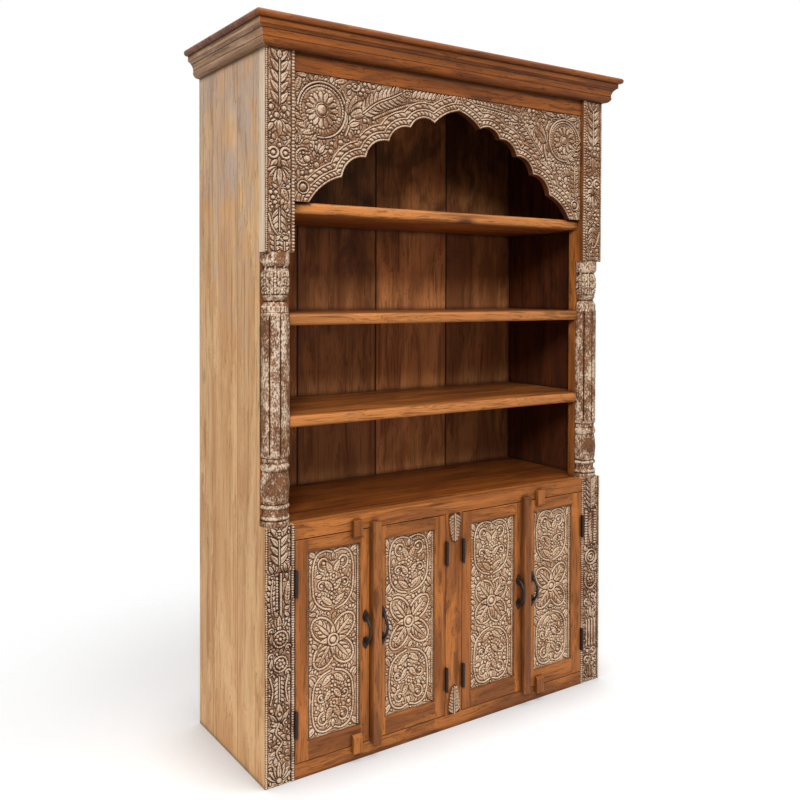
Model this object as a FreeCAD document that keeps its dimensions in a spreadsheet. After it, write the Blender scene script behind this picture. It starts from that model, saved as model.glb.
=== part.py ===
import FreeCAD, Part
import math
import os
import Sketcher

# A free-standing bookcase in the carved arch style. Four open shelves stand behind a lobed arch
# and two half-round columns, over a cupboard with four framed and carved doors.
# Millimetres. X runs to the right, Y to the back and Z up. The origin is the middle of the
# footprint on the floor. "Front plane" is the plane of the carved boards' faces.

SIZES = {
    # The whole case
    "overall_height": 1829.0,
    "body_width": 1124.0,
    "body_depth": 410.0,
    "edge_easing": 0.8,
    "cut_overrun": 5.0,
    # Side panels, each glued up from three boards, and the nailed back boards
    "side_thickness": 24.0,
    "side_front_board_width": 101.0,
    "side_middle_board_width": 154.0,
    "housing_depth": 8.0,
    "back_thickness": 12.0,
    # Face frame behind the carved boards
    "stile_width": 78.0,
    "stile_thickness": 25.0,
    "carved_board_thickness": 36.0,
    "header_setback": 13.0,
    "header_drop": 44.0,
    # Cap board and mitred cornice
    "cornice_overhang": 43.0,
    "cap_thickness": 17.0,
    "cap_nose_radius": 8.0,
    "cornice_foot": 3.0,
    "ovolo_radius": 15.0,
    "cornice_step_height": 3.0,
    "cornice_step_inset": 1.0,
    "cove_rise": 25.0,
    "cove_run": 14.0,
    "cove_hollow": 4.0,
    "cornice_band_height": 13.0,
    "cornice_band_step": 1.0,
    # Half-round columns that stand on the lower carved boards
    "column_height": 654.0,
    "column_radius": 37.0,
    "column_waist_radius": 32.5,
    "column_neck_radius": 27.0,
    "column_cap_height": 25.0,
    "column_cap_taper": 8.0,
    "bulb_height": 71.0,
    "flare_height": 26.0,
    "collar_height": 13.0,
    "collar_radius": 35.0,
    "shaft_shoulder": 9.0,
    "shaft_neck_height": 12.0,
    "torus_height": 21.0,
    "vase_height": 78.0,
    "ring_height": 12.0,
    "cove_height": 15.0,
    "cove_depth": 2.0,
    "plinth_groove": 1.0,
    "plinth_height": 12.0,
    # Lobed arch in two halves under the header rail
    "arch_setback": 13.0,
    "arch_thickness": 22.0,
    "arch_rise": 312.0,
    "arch_foot_width": 46.0,
    "arch_crown": 39.0,
    "arch_crown_offset": 22.0,
    # Open shelves
    "shelf_thickness": 28.0,
    "shelf_setback": 29.0,
    "shelf_nose_radius": 9.0,
    # Cupboard frame
    "counter_height": 622.0,
    "counter_rail_height": 38.0,
    "counter_board_thickness": 22.0,
    "frame_rail_thickness": 22.0,
    "frame_rail_setback": 3.5,
    "bottom_rail_height": 38.0,
    "bottom_board_thickness": 18.0,
    "cupboard_shelf_height": 310.0,
    "cupboard_shelf_thickness": 18.0,
    "cupboard_shelf_setback": 75.0,
    "mullion_width": 55.0,
    "mullion_thickness": 28.0,
    "leaf_width": 38.0,
    "leaf_length": 78.0,
    "leaf_thickness": 8.0,
    "leaf_waist": 14.0,
    # Doors
    "door_thickness": 25.0,
    "door_setback": 3.0,
    "hinge_gap": 1.5,
    "meeting_gap": 3.0,
    "door_end_gap": 2.0,
    "inner_door_width": 239.0,
    "outer_hinge_stile_width": 36.0,
    "outer_meeting_stile_width": 25.0,
    "inner_hinge_stile_width": 33.0,
    "inner_meeting_stile_width": 47.0,
    "door_top_rail_height": 35.0,
    "door_bottom_rail_height": 45.0,
    "opening_bevel_width": 5.0,
    "opening_bevel_depth": 4.0,
    "panel_setback": 8.0,
    "panel_thickness": 12.0,
    "panel_groove_depth": 8.0,
    "panel_play": 1.0,
    # Meeting battens on the inner doors and stop blocks on the outer doors
    "batten_width": 25.0,
    "batten_projection": 18.0,
    "batten_edge_radius": 4.0,
    "batten_top_lap": 16.0,
    "batten_bottom_lap": 6.0,
    "block_width": 25.0,
    "block_height": 46.0,
    "block_projection": 12.0,
    "block_top_lap": 28.0,
    "block_bottom_lap": 18.0,
    "block_inset": 27.0,
    "block_bevel": 7.0,
    # Forged pulls
    "pull_height": 327.0,
    "pull_plate_spacing": 70.0,
    "pull_plate_width": 17.0,
    "pull_plate_length": 30.0,
    "pull_plate_thickness": 2.5,
    "grip_span": 66.0,
    "grip_projection": 26.0,
    "grip_diameter": 7.5,
    "nail_shank_diameter": 2.4,
    "nail_head_diameter": 5.0,
    "nail_head_height": 1.5,
    "nail_length": 15.0,
    "nail_inset": 5.5,
    # Hinges. An inset runs from the door's end to the hinge's end
    "upper_hinge_inset": 71.0,
    "lower_hinge_inset": 65.0,
    "hinge_length": 64.0,
    "hinge_leaf_width": 20.0,
    "hinge_leaf_thickness": 1.5,
    "barrel_diameter": 8.0,
    "barrel_stand_off": 0.4,
    "pin_diameter": 3.4,
    "pin_play": 0.3,
    "pin_head_diameter": 6.0,
    "pin_head_height": 1.6,
    "knuckle_gap": 0.4,
    "screw_diameter": 3.4,
    "screw_head_diameter": 6.2,
    "screw_length": 15.0,
    "screw_tip": 3.0,
    "screw_play": 0.1,
}

# Counts and shares
BACK_BOARDS = 4
KNUCKLES = 5
SCREWS_PER_LEAF = 3
# How far the two middle shelves stand up from the counter towards the top shelf
LOW_SHELF_SHARE = 0.33
MIDDLE_SHELF_SHARE = 0.65
# Cusps of one arch half: across its span from its foot, and up the arch's rise
ARCH_CUSP_SHARES = ((0.273, 0.215), (0.412, 0.390), (0.550, 0.540), (0.685, 0.675), (0.838, 0.742))
# How far each lobe bows up, as a share of its chord
LOBE_BOW_SHARES = (0.10, 0.20, 0.21, 0.20, 0.24, 0.08)
NAIL_CROWN_SHARE = 0.6
# Shapes nearer than this count as touching
TOLERANCE = 1e-6

doc = FreeCAD.newDocument("carved_bookcase")
sheet = doc.addObject("Spreadsheet::Sheet", "Sizes")
for row, (alias, number) in enumerate(SIZES.items(), start=1):
    sheet.set(f"A{row}", alias)
    sheet.set(f"B{row}", str(number))
    sheet.setAlias(f"B{row}", alias)
doc.recompute()


class Size:
    """A length that knows its number and the expression that ties it to the sheet."""

    def __init__(self, value, text):
        self.value = float(value)
        self.text = text

    def __add__(self, other):
        other = size_of(other)
        return Size(self.value + other.value, f"({self.text} + {other.text})")

    def __sub__(self, other):
        other = size_of(other)
        return Size(self.value - other.value, f"({self.text} - {other.text})")

    def __mul__(self, share):
        return Size(self.value * share, f"({self.text} * {share})")

    def __truediv__(self, share):
        return Size(self.value / share, f"({self.text} / {share})")

    def __neg__(self):
        return Size(-self.value, f"(0 - {self.text})")


def size_of(thing):
    """Zero and plain numbers become sizes too."""
    return thing if isinstance(thing, Size) else Size(thing, str(thing))


def half_chord_radius(chord_x, chord_y, bow):
    """Radius of the arc over a chord with a given rise."""
    square = f"(({chord_x.text}) ^ 2 + ({chord_y.text}) ^ 2)"
    value = (chord_x.value ** 2 + chord_y.value ** 2) / (8 * bow.value) + bow.value / 2
    return Size(value, f"({square} / (8 * {bow.text}) + {bow.text} / 2)")


S = {alias: Size(sheet.get(alias), f"Sizes.{alias}") for alias in SIZES}
ZERO = Size(0, "0")

# Planes and heights that several pieces share
LEFT = -S["body_width"] / 2
RIGHT = S["body_width"] / 2
FRONT = (S["cornice_overhang"] - S["body_depth"]) / 2
BACK = FRONT + S["body_depth"]
CASE_TOP = S["overall_height"] - S["cap_thickness"]
CORNICE_HEIGHT = (S["ovolo_radius"] + S["cornice_step_height"] + S["cove_rise"]
                  + S["cornice_band_height"])
CORNICE_FOOT_Z = CASE_TOP - CORNICE_HEIGHT
STILE_FACE = FRONT + S["carved_board_thickness"]
SIDE_FRONT = STILE_FACE + S["stile_thickness"]
BOARD_FRONT = BACK - S["back_thickness"]
OPENING_LEFT = LEFT + S["stile_width"]
OPENING_WIDTH = S["body_width"] - S["stile_width"] * 2
HOUSED_LEFT = LEFT + S["side_thickness"] - S["housing_depth"]
HOUSED_WIDTH = S["body_width"] - (S["side_thickness"] - S["housing_depth"]) * 2
HEADER_FOOT_Z = CORNICE_FOOT_Z - S["header_drop"]
TOP_SHELF_Z = HEADER_FOOT_Z - S["arch_rise"]
SHELF_SPACE = TOP_SHELF_Z - S["counter_height"]
LOW_SHELF_Z = S["counter_height"] + SHELF_SPACE * LOW_SHELF_SHARE
MIDDLE_SHELF_Z = S["counter_height"] + SHELF_SPACE * MIDDLE_SHELF_SHARE
DOOR_TOP_LIMIT = S["counter_height"] - S["counter_rail_height"]
DOOR_FOOT = S["bottom_rail_height"] + S["door_end_gap"]
DOOR_HEIGHT = DOOR_TOP_LIMIT - S["door_end_gap"] - DOOR_FOOT
DOOR_FRONT = FRONT + S["door_setback"]
RAIL_FRONT = FRONT + S["frame_rail_setback"]
PAIR_WIDTH = (OPENING_WIDTH - S["mullion_width"]) / 2
MULLION_LEFT = OPENING_LEFT + PAIR_WIDTH
MULLION_RIGHT = MULLION_LEFT + S["mullion_width"]
OUTER_DOOR_WIDTH = PAIR_WIDTH - S["inner_door_width"] - S["meeting_gap"] - S["hinge_gap"] * 2
BARREL_AXIS = FRONT - S["barrel_diameter"] / 2 - S["barrel_stand_off"]
LOWER_HINGE_FOOT = DOOR_FOOT + S["lower_hinge_inset"]
HINGE_SPACING = (DOOR_HEIGHT - S["upper_hinge_inset"] - S["lower_hinge_inset"]
                 - S["hinge_length"])

nodes = []


def bind(thing, **lengths):
    """Set lengths of an object and tie them to the sheet."""
    for name, length in lengths.items():
        length = size_of(length)
        setattr(thing, name, length.value)
        thing.setExpression(name, length.text)


def place(thing, x, y, z, turn=None):
    """Put an object at a place that follows the sheet."""
    x, y, z = size_of(x), size_of(y), size_of(z)
    thing.Placement = FreeCAD.Placement(FreeCAD.Vector(x.value, y.value, z.value),
                                        turn or FreeCAD.Rotation())
    for axis, length in (("x", x), ("y", y), ("z", z)):
        thing.setExpression(f"Placement.Base.{axis}", length.text)


def node(thing, label):
    """Give a finished sub-part its own name and keep it for the output."""
    thing.Label = label
    nodes.append(thing)
    return thing


def body(name):
    return doc.addObject("PartDesign::Body", name)


def group(label, members):
    """Several solids that are made and named as one sub-part."""
    compound = doc.addObject("Part::Compound", label)
    compound.Links = members
    return node(compound, label)


def block(name, corner, lengths):
    """A plain rectangular block in the object's frame."""
    solid = doc.addObject("Part::Box", name)
    bind(solid, Length=lengths[0], Width=lengths[1], Height=lengths[2])
    place(solid, *corner)
    return solid


def sketch_on(owner, plane, offset=None):
    """An empty sketch on one of the body's own origin planes, moved by an offset if given."""
    sketch = owner.newObject("Sketcher::SketchObject", "Outline")
    support = next(f for f in owner.Origin.OriginFeatures if f.Role == plane)
    sketch.AttachmentSupport = (support, [""])
    sketch.MapMode = "FlatFace"
    if offset:
        offset = [size_of(length) for length in offset]
        shift = FreeCAD.Vector(*[length.value for length in offset])
        sketch.AttachmentOffset = FreeCAD.Placement(shift, FreeCAD.Rotation())
        for axis, length in zip("xyz", offset):
            sketch.setExpression(f"AttachmentOffset.Base.{axis}", length.text)
    return sketch


def fix(sketch, kind, places, length):
    """Add one dimension to a sketch and tie it to the sheet."""
    length = size_of(length)
    index = sketch.addConstraint(Sketcher.Constraint(kind, *places, length.value))
    sketch.setExpression(f"Constraints[{index}]", length.text)


def add_arc(sketch, start, end, bow):
    """An arc from start to end that bows to the right of that direction, or left if negative."""
    chord = end - start
    rise = abs(bow)
    radius = (chord.Length / 2) ** 2 / (2 * rise) + rise / 2
    right = FreeCAD.Vector(chord.y, -chord.x, 0).normalize()
    side = math.copysign(1, bow)
    centre = (start + end) / 2 - right * side * (radius - rise)
    circle = Part.Circle(centre, FreeCAD.Vector(0, 0, 1), radius)
    angles = [math.atan2(p.y - centre.y, p.x - centre.x) for p in (start, end)]
    if bow < 0:
        angles.reverse()
    return sketch.addGeometry(Part.ArcOfCircle(circle, *angles), False)


def outline(sketch, corners):
    """A closed outline. Each corner is (x, y) or (x, y, bow), the bow of the side that follows."""
    points = [(size_of(c[0]), size_of(c[1])) for c in corners]
    bows = [size_of(c[2]) if len(c) > 2 else None for c in corners]
    sides = []
    for i, bow in enumerate(bows):
        here, there = points[i], points[(i + 1) % len(points)]
        start = FreeCAD.Vector(here[0].value, here[1].value, 0)
        end = FreeCAD.Vector(there[0].value, there[1].value, 0)
        if bow is None:
            sides.append((sketch.addGeometry(Part.LineSegment(start, end), False), 1, 2))
        else:
            order = (1, 2) if bow.value > 0 else (2, 1)
            sides.append((add_arc(sketch, start, end, bow.value), *order))
    for i, (side, first, _) in enumerate(sides):
        before, _, last = sides[i - 1]
        sketch.addConstraint(Sketcher.Constraint("Coincident", before, last, side, first))
        fix(sketch, "DistanceX", (-1, 1, side, first), points[i][0])
        fix(sketch, "DistanceY", (-1, 1, side, first), points[i][1])
        if bows[i] is not None:
            there = points[(i + 1) % len(points)]
            rise = bows[i] if bows[i].value > 0 else -bows[i]
            radius = half_chord_radius(there[0] - points[i][0], there[1] - points[i][1], rise)
            fix(sketch, "Radius", (side,), radius)


def rectangle(sketch, x0, y0, x1, y1):
    outline(sketch, [(x0, y0), (x1, y0), (x1, y1), (x0, y1)])


def circle(sketch, x, y, diameter):
    x, y, diameter = size_of(x), size_of(y), size_of(diameter)
    centre = FreeCAD.Vector(x.value, y.value, 0)
    shape = Part.Circle(centre, FreeCAD.Vector(0, 0, 1), diameter.value / 2)
    side = sketch.addGeometry(shape, False)
    fix(sketch, "DistanceX", (-1, 1, side, 3), x)
    fix(sketch, "DistanceY", (-1, 1, side, 3), y)
    fix(sketch, "Diameter", (side,), diameter)


def pad(owner, sketch, length, reverse=False):
    feature = owner.newObject("PartDesign::Pad", "Pad")
    feature.Profile = sketch
    feature.Reversed = reverse
    bind(feature, Length=length)
    return feature


def pocket(owner, sketch, length, reverse=False):
    feature = owner.newObject("PartDesign::Pocket", "Pocket")
    feature.Profile = sketch
    feature.Reversed = reverse
    bind(feature, Length=length)
    return feature


def edges_at(feature, axis, level):
    """Names of a feature's edges that lie wholly in one plane."""
    doc.recompute()
    names = []
    for i, edge in enumerate(feature.Shape.Edges, start=1):
        box = edge.BoundBox
        low, high = getattr(box, axis + "Min"), getattr(box, axis + "Max")
        if abs(low - level) < TOLERANCE and abs(high - level) < TOLERANCE:
            names.append(f"Edge{i}")
    return names


def is_level(feature, name):
    return feature.Shape.getElement(name).BoundBox.ZLength < TOLERANCE


def round_edges(owner, feature, names, radius):
    fillet = owner.newObject("PartDesign::Fillet", "Fillet")
    fillet.Base = (feature, names)
    bind(fillet, Radius=radius)
    return fillet


def origin_axis(owner, role):
    return (next(f for f in owner.Origin.OriginFeatures if f.Role == role), [""])


def repeat(owner, originals, role, step, count, second_step=None, whole=False):
    """Copies in a row, and a second row of rows where a second step is given."""
    doc.recompute()
    pattern = owner.newObject("PartDesign::LinearPattern", "Pattern")
    pattern.Originals = originals
    if whole:
        pattern.TransformMode = "Whole shape"
    pattern.Direction = origin_axis(owner, role)
    pattern.Occurrences = count
    bind(pattern, Length=step * (count - 1))
    if second_step is not None:
        pattern.Direction2 = origin_axis(owner, role)
        pattern.Occurrences2 = 2
        bind(pattern, Length2=second_step)
    owner.Tip = pattern
    return pattern


# Side panels

HOUSINGS = (
    (S["bottom_rail_height"], S["bottom_board_thickness"]),
    (S["cupboard_shelf_height"], S["cupboard_shelf_thickness"]),
    (S["counter_height"], S["counter_board_thickness"]),
    (LOW_SHELF_Z, S["shelf_thickness"]),
    (MIDDLE_SHELF_Z, S["shelf_thickness"]),
    (TOP_SHELF_Z, S["shelf_thickness"]),
)


def side_board(name, x, y, width, inner_face, outer_face):
    """One upright board of a side panel, housed across its inner face for each shelf."""
    board = body(name)
    profile = sketch_on(board, "YZ_Plane")
    rectangle(profile, 0, 0, width, CASE_TOP)
    plank = pad(board, profile, S["side_thickness"])
    seen = edges_at(plank, "X", outer_face.value)
    round_edges(board, plank, seen, S["edge_easing"])
    housing_foot = inner_face if inner_face.value == 0 else inner_face - S["housing_depth"]
    housings = sketch_on(board, "YZ_Plane", (0, 0, housing_foot))
    for top, thickness in HOUSINGS:
        rectangle(housings, 0, top - thickness, width, top)
    pocket(board, housings, S["housing_depth"], reverse=True)
    place(board, x, y, 0)
    return board


def side_panel(label, x, inner_face, outer_face):
    rear_width = (BACK - SIDE_FRONT - S["side_front_board_width"] - S["side_middle_board_width"])
    boards = []
    y = SIDE_FRONT
    for part, width in (("front", S["side_front_board_width"]),
                        ("middle", S["side_middle_board_width"]), ("rear", rear_width)):
        boards.append(side_board(f"{label}_{part}_board", x, y, width, inner_face, outer_face))
        y = y + width
    group(label, boards)


side_panel("left_side", LEFT, S["side_thickness"], ZERO)
side_panel("right_side", RIGHT - S["side_thickness"], ZERO, S["side_thickness"])


# Back boards between the sides

def back_panel():
    inner_left = LEFT + S["side_thickness"]
    width = (S["body_width"] - S["side_thickness"] * 2) / BACK_BOARDS
    boards = []
    for i in range(BACK_BOARDS):
        board = body(f"back_board_{i + 1}")
        profile = sketch_on(board, "XZ_Plane")
        rectangle(profile, 0, 0, width, CASE_TOP)
        plank = pad(board, profile, S["back_thickness"], reverse=True)
        round_edges(board, plank, edges_at(plank, "Y", 0), S["edge_easing"])
        place(board, inner_left + width * i, BOARD_FRONT, 0)
        boards.append(board)
    group("back_boards", boards)


back_panel()


# Face frame: stiles, header rail and mullion

def front_board(label, x, y, z, width, height, thickness):
    """An upright or level board seen from the front, with its front edges eased."""
    board = body(label)
    profile = sketch_on(board, "XZ_Plane")
    rectangle(profile, 0, 0, width, height)
    plank = pad(board, profile, thickness, reverse=True)
    round_edges(board, plank, edges_at(plank, "Y", 0), S["edge_easing"])
    place(board, x, y, z)
    return node(board, label)


front_board("left_stile", LEFT, STILE_FACE, ZERO, S["stile_width"], CASE_TOP, S["stile_thickness"])
front_board("right_stile", RIGHT - S["stile_width"], STILE_FACE, ZERO, S["stile_width"], CASE_TOP,
            S["stile_thickness"])


def header_rail():
    """A board across both stiles behind the cornice, with a drop between the carved boards."""
    board = body("header_rail")
    profile = sketch_on(board, "XZ_Plane")
    drop_right = S["body_width"] - S["stile_width"]
    top = S["header_drop"] + CORNICE_HEIGHT
    outline(profile, [
        (S["stile_width"], 0), (drop_right, 0), (drop_right, S["header_drop"]),
        (S["body_width"], S["header_drop"]), (S["body_width"], top), (0, top),
        (0, S["header_drop"]), (S["stile_width"], S["header_drop"])])
    thickness = S["carved_board_thickness"] - S["header_setback"]
    plank = pad(board, profile, thickness, reverse=True)
    round_edges(board, plank, edges_at(plank, "Z", 0), S["edge_easing"])
    place(board, LEFT, FRONT + S["header_setback"], HEADER_FOOT_Z)
    node(board, "header_rail")


header_rail()


# Carved boards above and below the columns

for hand, board_x in (("left", LEFT), ("right", RIGHT - S["stile_width"])):
    front_board(f"{hand}_upper_carving", board_x, FRONT, S["counter_height"] + S["column_height"],
                S["stile_width"], CORNICE_FOOT_Z - S["counter_height"] - S["column_height"],
                S["carved_board_thickness"])


# Hinge seats: a shallow mortise and screw holes for each hinge in the edge that carries it

LEAF_FOOT = S["barrel_diameter"] / 2 + S["barrel_stand_off"]
KNUCKLE_LENGTH = (S["hinge_length"] - S["knuckle_gap"] * (KNUCKLES - 1)) / KNUCKLES
KNUCKLE_PITCH = KNUCKLE_LENGTH + S["knuckle_gap"]
SCREW_PITCH = S["hinge_length"] / SCREWS_PER_LEAF
SCREW_ROW = LEAF_FOOT + S["hinge_leaf_width"] / 2


def seat_hinges(owner, face_x, into_positive, front, foot):
    """Cut both hinge seats into an upright edge. front and foot are the body's own corner."""
    mortises = sketch_on(owner, "YZ_Plane", (0, 0, face_x))
    screws = sketch_on(owner, "YZ_Plane", (0, 0, face_x))
    axis = BARREL_AXIS - front
    for hinge_foot in (LOWER_HINGE_FOOT - foot, LOWER_HINGE_FOOT + HINGE_SPACING - foot):
        rectangle(mortises, axis + LEAF_FOOT - S["cut_overrun"], hinge_foot,
                  axis + LEAF_FOOT + S["hinge_leaf_width"], hinge_foot + S["hinge_length"])
        for i in range(SCREWS_PER_LEAF):
            circle(screws, axis + SCREW_ROW, hinge_foot + SCREW_PITCH * (i + 0.5),
                   S["screw_diameter"] + S["screw_play"] * 2)
    pocket(owner, mortises, S["hinge_leaf_thickness"], reverse=into_positive)
    pocket(owner, screws, S["screw_length"] + S["screw_play"], reverse=into_positive)


def lower_carving(label, x, face_x, into_positive):
    board = body(label)
    profile = sketch_on(board, "XZ_Plane")
    rectangle(profile, 0, 0, S["stile_width"], S["counter_height"])
    plank = pad(board, profile, S["carved_board_thickness"], reverse=True)
    round_edges(board, plank, edges_at(plank, "Y", 0), S["edge_easing"])
    seat_hinges(board, face_x, into_positive, FRONT, ZERO)
    place(board, x, FRONT, 0)
    node(board, label)


lower_carving("left_lower_carving", LEFT, S["stile_width"], False)
lower_carving("right_lower_carving", RIGHT - S["stile_width"], ZERO, True)


def mullion():
    post = body("mullion")
    profile = sketch_on(post, "XZ_Plane")
    rectangle(profile, 0, 0, S["mullion_width"], DOOR_TOP_LIMIT - S["bottom_rail_height"])
    plank = pad(post, profile, S["mullion_thickness"], reverse=True)
    round_edges(post, plank, edges_at(plank, "Y", 0), S["edge_easing"])
    seat_hinges(post, ZERO, True, RAIL_FRONT, S["bottom_rail_height"])
    seat_hinges(post, S["mullion_width"], False, RAIL_FRONT, S["bottom_rail_height"])
    place(post, MULLION_LEFT, RAIL_FRONT, S["bottom_rail_height"])
    node(post, "mullion")


mullion()


# Columns: half-round turnings on the face of the stiles

def column_profile():
    """Corners of the turned outline from the foot up, out from the centre line."""
    full, waist = S["column_radius"], S["column_waist_radius"]
    swell = full - waist
    corners = [(0, 0), (full, 0), (full, S["plinth_height"]), (waist, S["plinth_height"])]
    z = S["plinth_height"] + S["plinth_groove"]
    for height, bow in ((S["ring_height"], swell), (S["cove_height"], -S["cove_depth"]),
                        (S["ring_height"], swell), (S["vase_height"], swell),
                        (S["torus_height"], swell)):
        corners.append((waist, z, bow))
        z = z + height
    corners.append((waist, z))
    z = z + S["shaft_neck_height"]
    corners += [(waist, z), (full, z + S["shaft_shoulder"])]
    z = (S["column_height"] - S["column_cap_height"] - S["column_cap_taper"] - S["bulb_height"]
         - S["flare_height"] - S["collar_height"])
    collar = S["collar_radius"]
    corners += [(full, z - S["shaft_shoulder"]), (waist, z), (collar, z)]
    z = z + S["collar_height"]
    corners += [(collar, z), (S["column_neck_radius"], z + S["flare_height"] / 2)]
    z = z + S["flare_height"]
    corners.append((waist, z, swell))
    z = z + S["bulb_height"]
    corners += [(waist, z), (full, z + S["column_cap_taper"]), (full, S["column_height"]),
                (0, S["column_height"])]
    return corners


def column(label, x):
    turning = body(label)
    profile = sketch_on(turning, "XZ_Plane")
    outline(profile, column_profile())
    turned = turning.newObject("PartDesign::Revolution", "Revolution")
    turned.Profile = profile
    turned.ReferenceAxis = (profile, ["V_Axis"])
    turned.Angle = 180
    turned.Reversed = True
    place(turning, x + S["stile_width"] / 2, STILE_FACE, S["counter_height"])
    node(turning, label)


column("left_column", LEFT)
column("right_column", RIGHT - S["stile_width"])


# The lobed arch, as two boards that meet at the crown

def arch_half(label, side):
    """Side is 1 for the left half, whose foot is at the left, and -1 for the right half.
    The crown stands off the middle, so the left half is the longer one."""
    crown_x = S["arch_crown_offset"].value
    span = OPENING_WIDTH.value / 2 + side * crown_x
    rise, foot = S["arch_rise"].value, S["arch_foot_width"].value
    crown = rise - S["arch_crown"].value
    cusps = [(foot, 0.0)] + [(span * a, rise * b) for a, b in ARCH_CUSP_SHARES] + [(span, crown)]
    front = FRONT.value + S["arch_setback"].value

    def point(x, z):
        return FreeCAD.Vector(crown_x + side * (x - span), front, TOP_SHELF_Z.value + z)

    edges = []
    for (x0, z0), (x1, z1), bow in zip(cusps, cusps[1:], LOBE_BOW_SHARES):
        middle = ((x0 + x1) / 2 - (z1 - z0) * bow, (z0 + z1) / 2 + (x1 - x0) * bow)
        edges.append(Part.Arc(point(x0, z0), point(*middle), point(x1, z1)).toShape())
    corners = [(span, crown), (span, rise), (0.0, rise), (0.0, 0.0), (foot, 0.0)]
    for start, end in zip(corners, corners[1:]):
        edges.append(Part.LineSegment(point(*start), point(*end)).toShape())
    face = Part.Face(Part.Wire(Part.__sortEdges__(edges)))
    half = doc.addObject("Part::Feature", label)
    half.Shape = face.extrude(FreeCAD.Vector(0, S["arch_thickness"].value, 0))
    node(half, label)


arch_half("arch_left", 1)
arch_half("arch_right", -1)


# Cornice and cap board

def cornice_profile(inset):
    """Corners out from the face, up from the foot. Inset is the depth of the piece's back."""
    foot, ovolo = S["cornice_foot"], S["ovolo_radius"]
    step_x = foot + ovolo - S["cornice_step_inset"]
    step_z = ovolo + S["cornice_step_height"]
    cove_x = step_x + S["cove_run"]
    cove_z = step_z + S["cove_rise"]
    band_x = cove_x + S["cornice_band_step"]
    ovolo_bow = ovolo * (1 - math.sqrt(0.5))
    return [(-inset, 0), (foot, 0, ovolo_bow), (foot + ovolo, ovolo), (step_x, ovolo),
            (step_x, step_z, -S["cove_hollow"]), (cove_x, cove_z), (band_x, cove_z),
            (band_x, CORNICE_HEIGHT), (-inset, CORNICE_HEIGHT)]


def cornice_front():
    """Runs across the front. Its ends are mitred from the outer corner to the case corner."""
    moulding = body("cornice_front")
    reach = (S["cornice_foot"] + S["ovolo_radius"] - S["cornice_step_inset"] + S["cove_run"]
             + S["cornice_band_step"])
    length = S["body_width"] + reach * 2
    profile = sketch_on(moulding, "YZ_Plane")
    corners = [(-c[0] if isinstance(c[0], Size) else c[0], *c[1:])
               for c in cornice_profile(S["header_setback"])]
    outline(profile, [(c[0], c[1], -c[2]) if len(c) > 2 else c for c in corners])
    pad(moulding, profile, length)
    over = S["cut_overrun"]
    left_mitre = sketch_on(moulding, "XY_Plane")
    outline(left_mitre, [(-over, -reach - over), (reach, 0), (reach, S["header_setback"] + over),
                         (-over, S["header_setback"] + over)])
    pocket(moulding, left_mitre, CORNICE_HEIGHT, reverse=True)
    right_mitre = sketch_on(moulding, "XY_Plane")
    outline(right_mitre, [(length + over, -reach - over), (length - reach, 0),
                          (length - reach, S["header_setback"] + over),
                          (length + over, S["header_setback"] + over)])
    pocket(moulding, right_mitre, CORNICE_HEIGHT, reverse=True)
    place(moulding, LEFT - reach, FRONT, CORNICE_FOOT_Z)
    node(moulding, "cornice_front")
    return reach


CORNICE_REACH = cornice_front()


def cornice_side(label, side, x):
    """Runs back along one side. Side is -1 on the left, where it stands out to the left."""
    moulding = body(label)
    profile = sketch_on(moulding, "XZ_Plane")
    corners = []
    for corner in cornice_profile(ZERO):
        across = corner[0] * side if isinstance(corner[0], Size) else corner[0]
        corners.append((across, corner[1], corner[2] * side) if len(corner) > 2
                       else (across, corner[1]))
    outline(profile, corners)
    pad(moulding, profile, S["body_depth"] + CORNICE_REACH, reverse=True)
    over = S["cut_overrun"]
    mitre = sketch_on(moulding, "XY_Plane")
    outline(mitre, [(-over * side, -over), (0, CORNICE_REACH),
                    ((CORNICE_REACH + over) * side, -over)])
    pocket(moulding, mitre, CORNICE_HEIGHT, reverse=True)
    place(moulding, x, FRONT - CORNICE_REACH, CORNICE_FOOT_Z)
    node(moulding, label)


cornice_side("cornice_left", -1, LEFT)
cornice_side("cornice_right", 1, RIGHT)


def cap_board():
    """The top board, with a nose that is rounded on its front and both ends."""
    board = body("cap_board")
    profile = sketch_on(board, "XY_Plane")
    width = S["body_width"] + S["cornice_overhang"] * 2
    depth = S["body_depth"] + S["cornice_overhang"]
    rectangle(profile, 0, 0, width, depth)
    slab = pad(board, profile, S["cap_thickness"])
    doc.recompute()
    nose = []
    for name, edge in ((f"Edge{i}", e) for i, e in enumerate(slab.Shape.Edges, start=1)):
        at_back = edge.BoundBox.YMin > depth.value - TOLERANCE
        if is_level(slab, name) and not at_back:
            nose.append(name)
    round_edges(board, slab, nose, S["cap_nose_radius"])
    place(board, LEFT - S["cornice_overhang"], FRONT - S["cornice_overhang"], CASE_TOP)
    node(board, "cap_board")


cap_board()


# Shelves and boards that are notched round the stiles and housed in the sides

def notched_board(label, front, top, thickness, nose_radius):
    """A level board: narrow between the stiles, wide behind them."""
    board = body(label)
    profile = sketch_on(board, "XY_Plane")
    notch_width = OPENING_LEFT - HOUSED_LEFT
    notch_depth = SIDE_FRONT - front
    depth = BOARD_FRONT - front
    outline(profile, [
        (notch_width, 0), (HOUSED_WIDTH - notch_width, 0),
        (HOUSED_WIDTH - notch_width, notch_depth), (HOUSED_WIDTH, notch_depth),
        (HOUSED_WIDTH, depth), (0, depth), (0, notch_depth), (notch_width, notch_depth)])
    slab = pad(board, profile, thickness)
    level = [name for name in edges_at(slab, "Y", 0) if is_level(slab, name)]
    round_edges(board, slab, level, nose_radius)
    place(board, HOUSED_LEFT, front, top - thickness)
    node(board, label)


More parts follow.
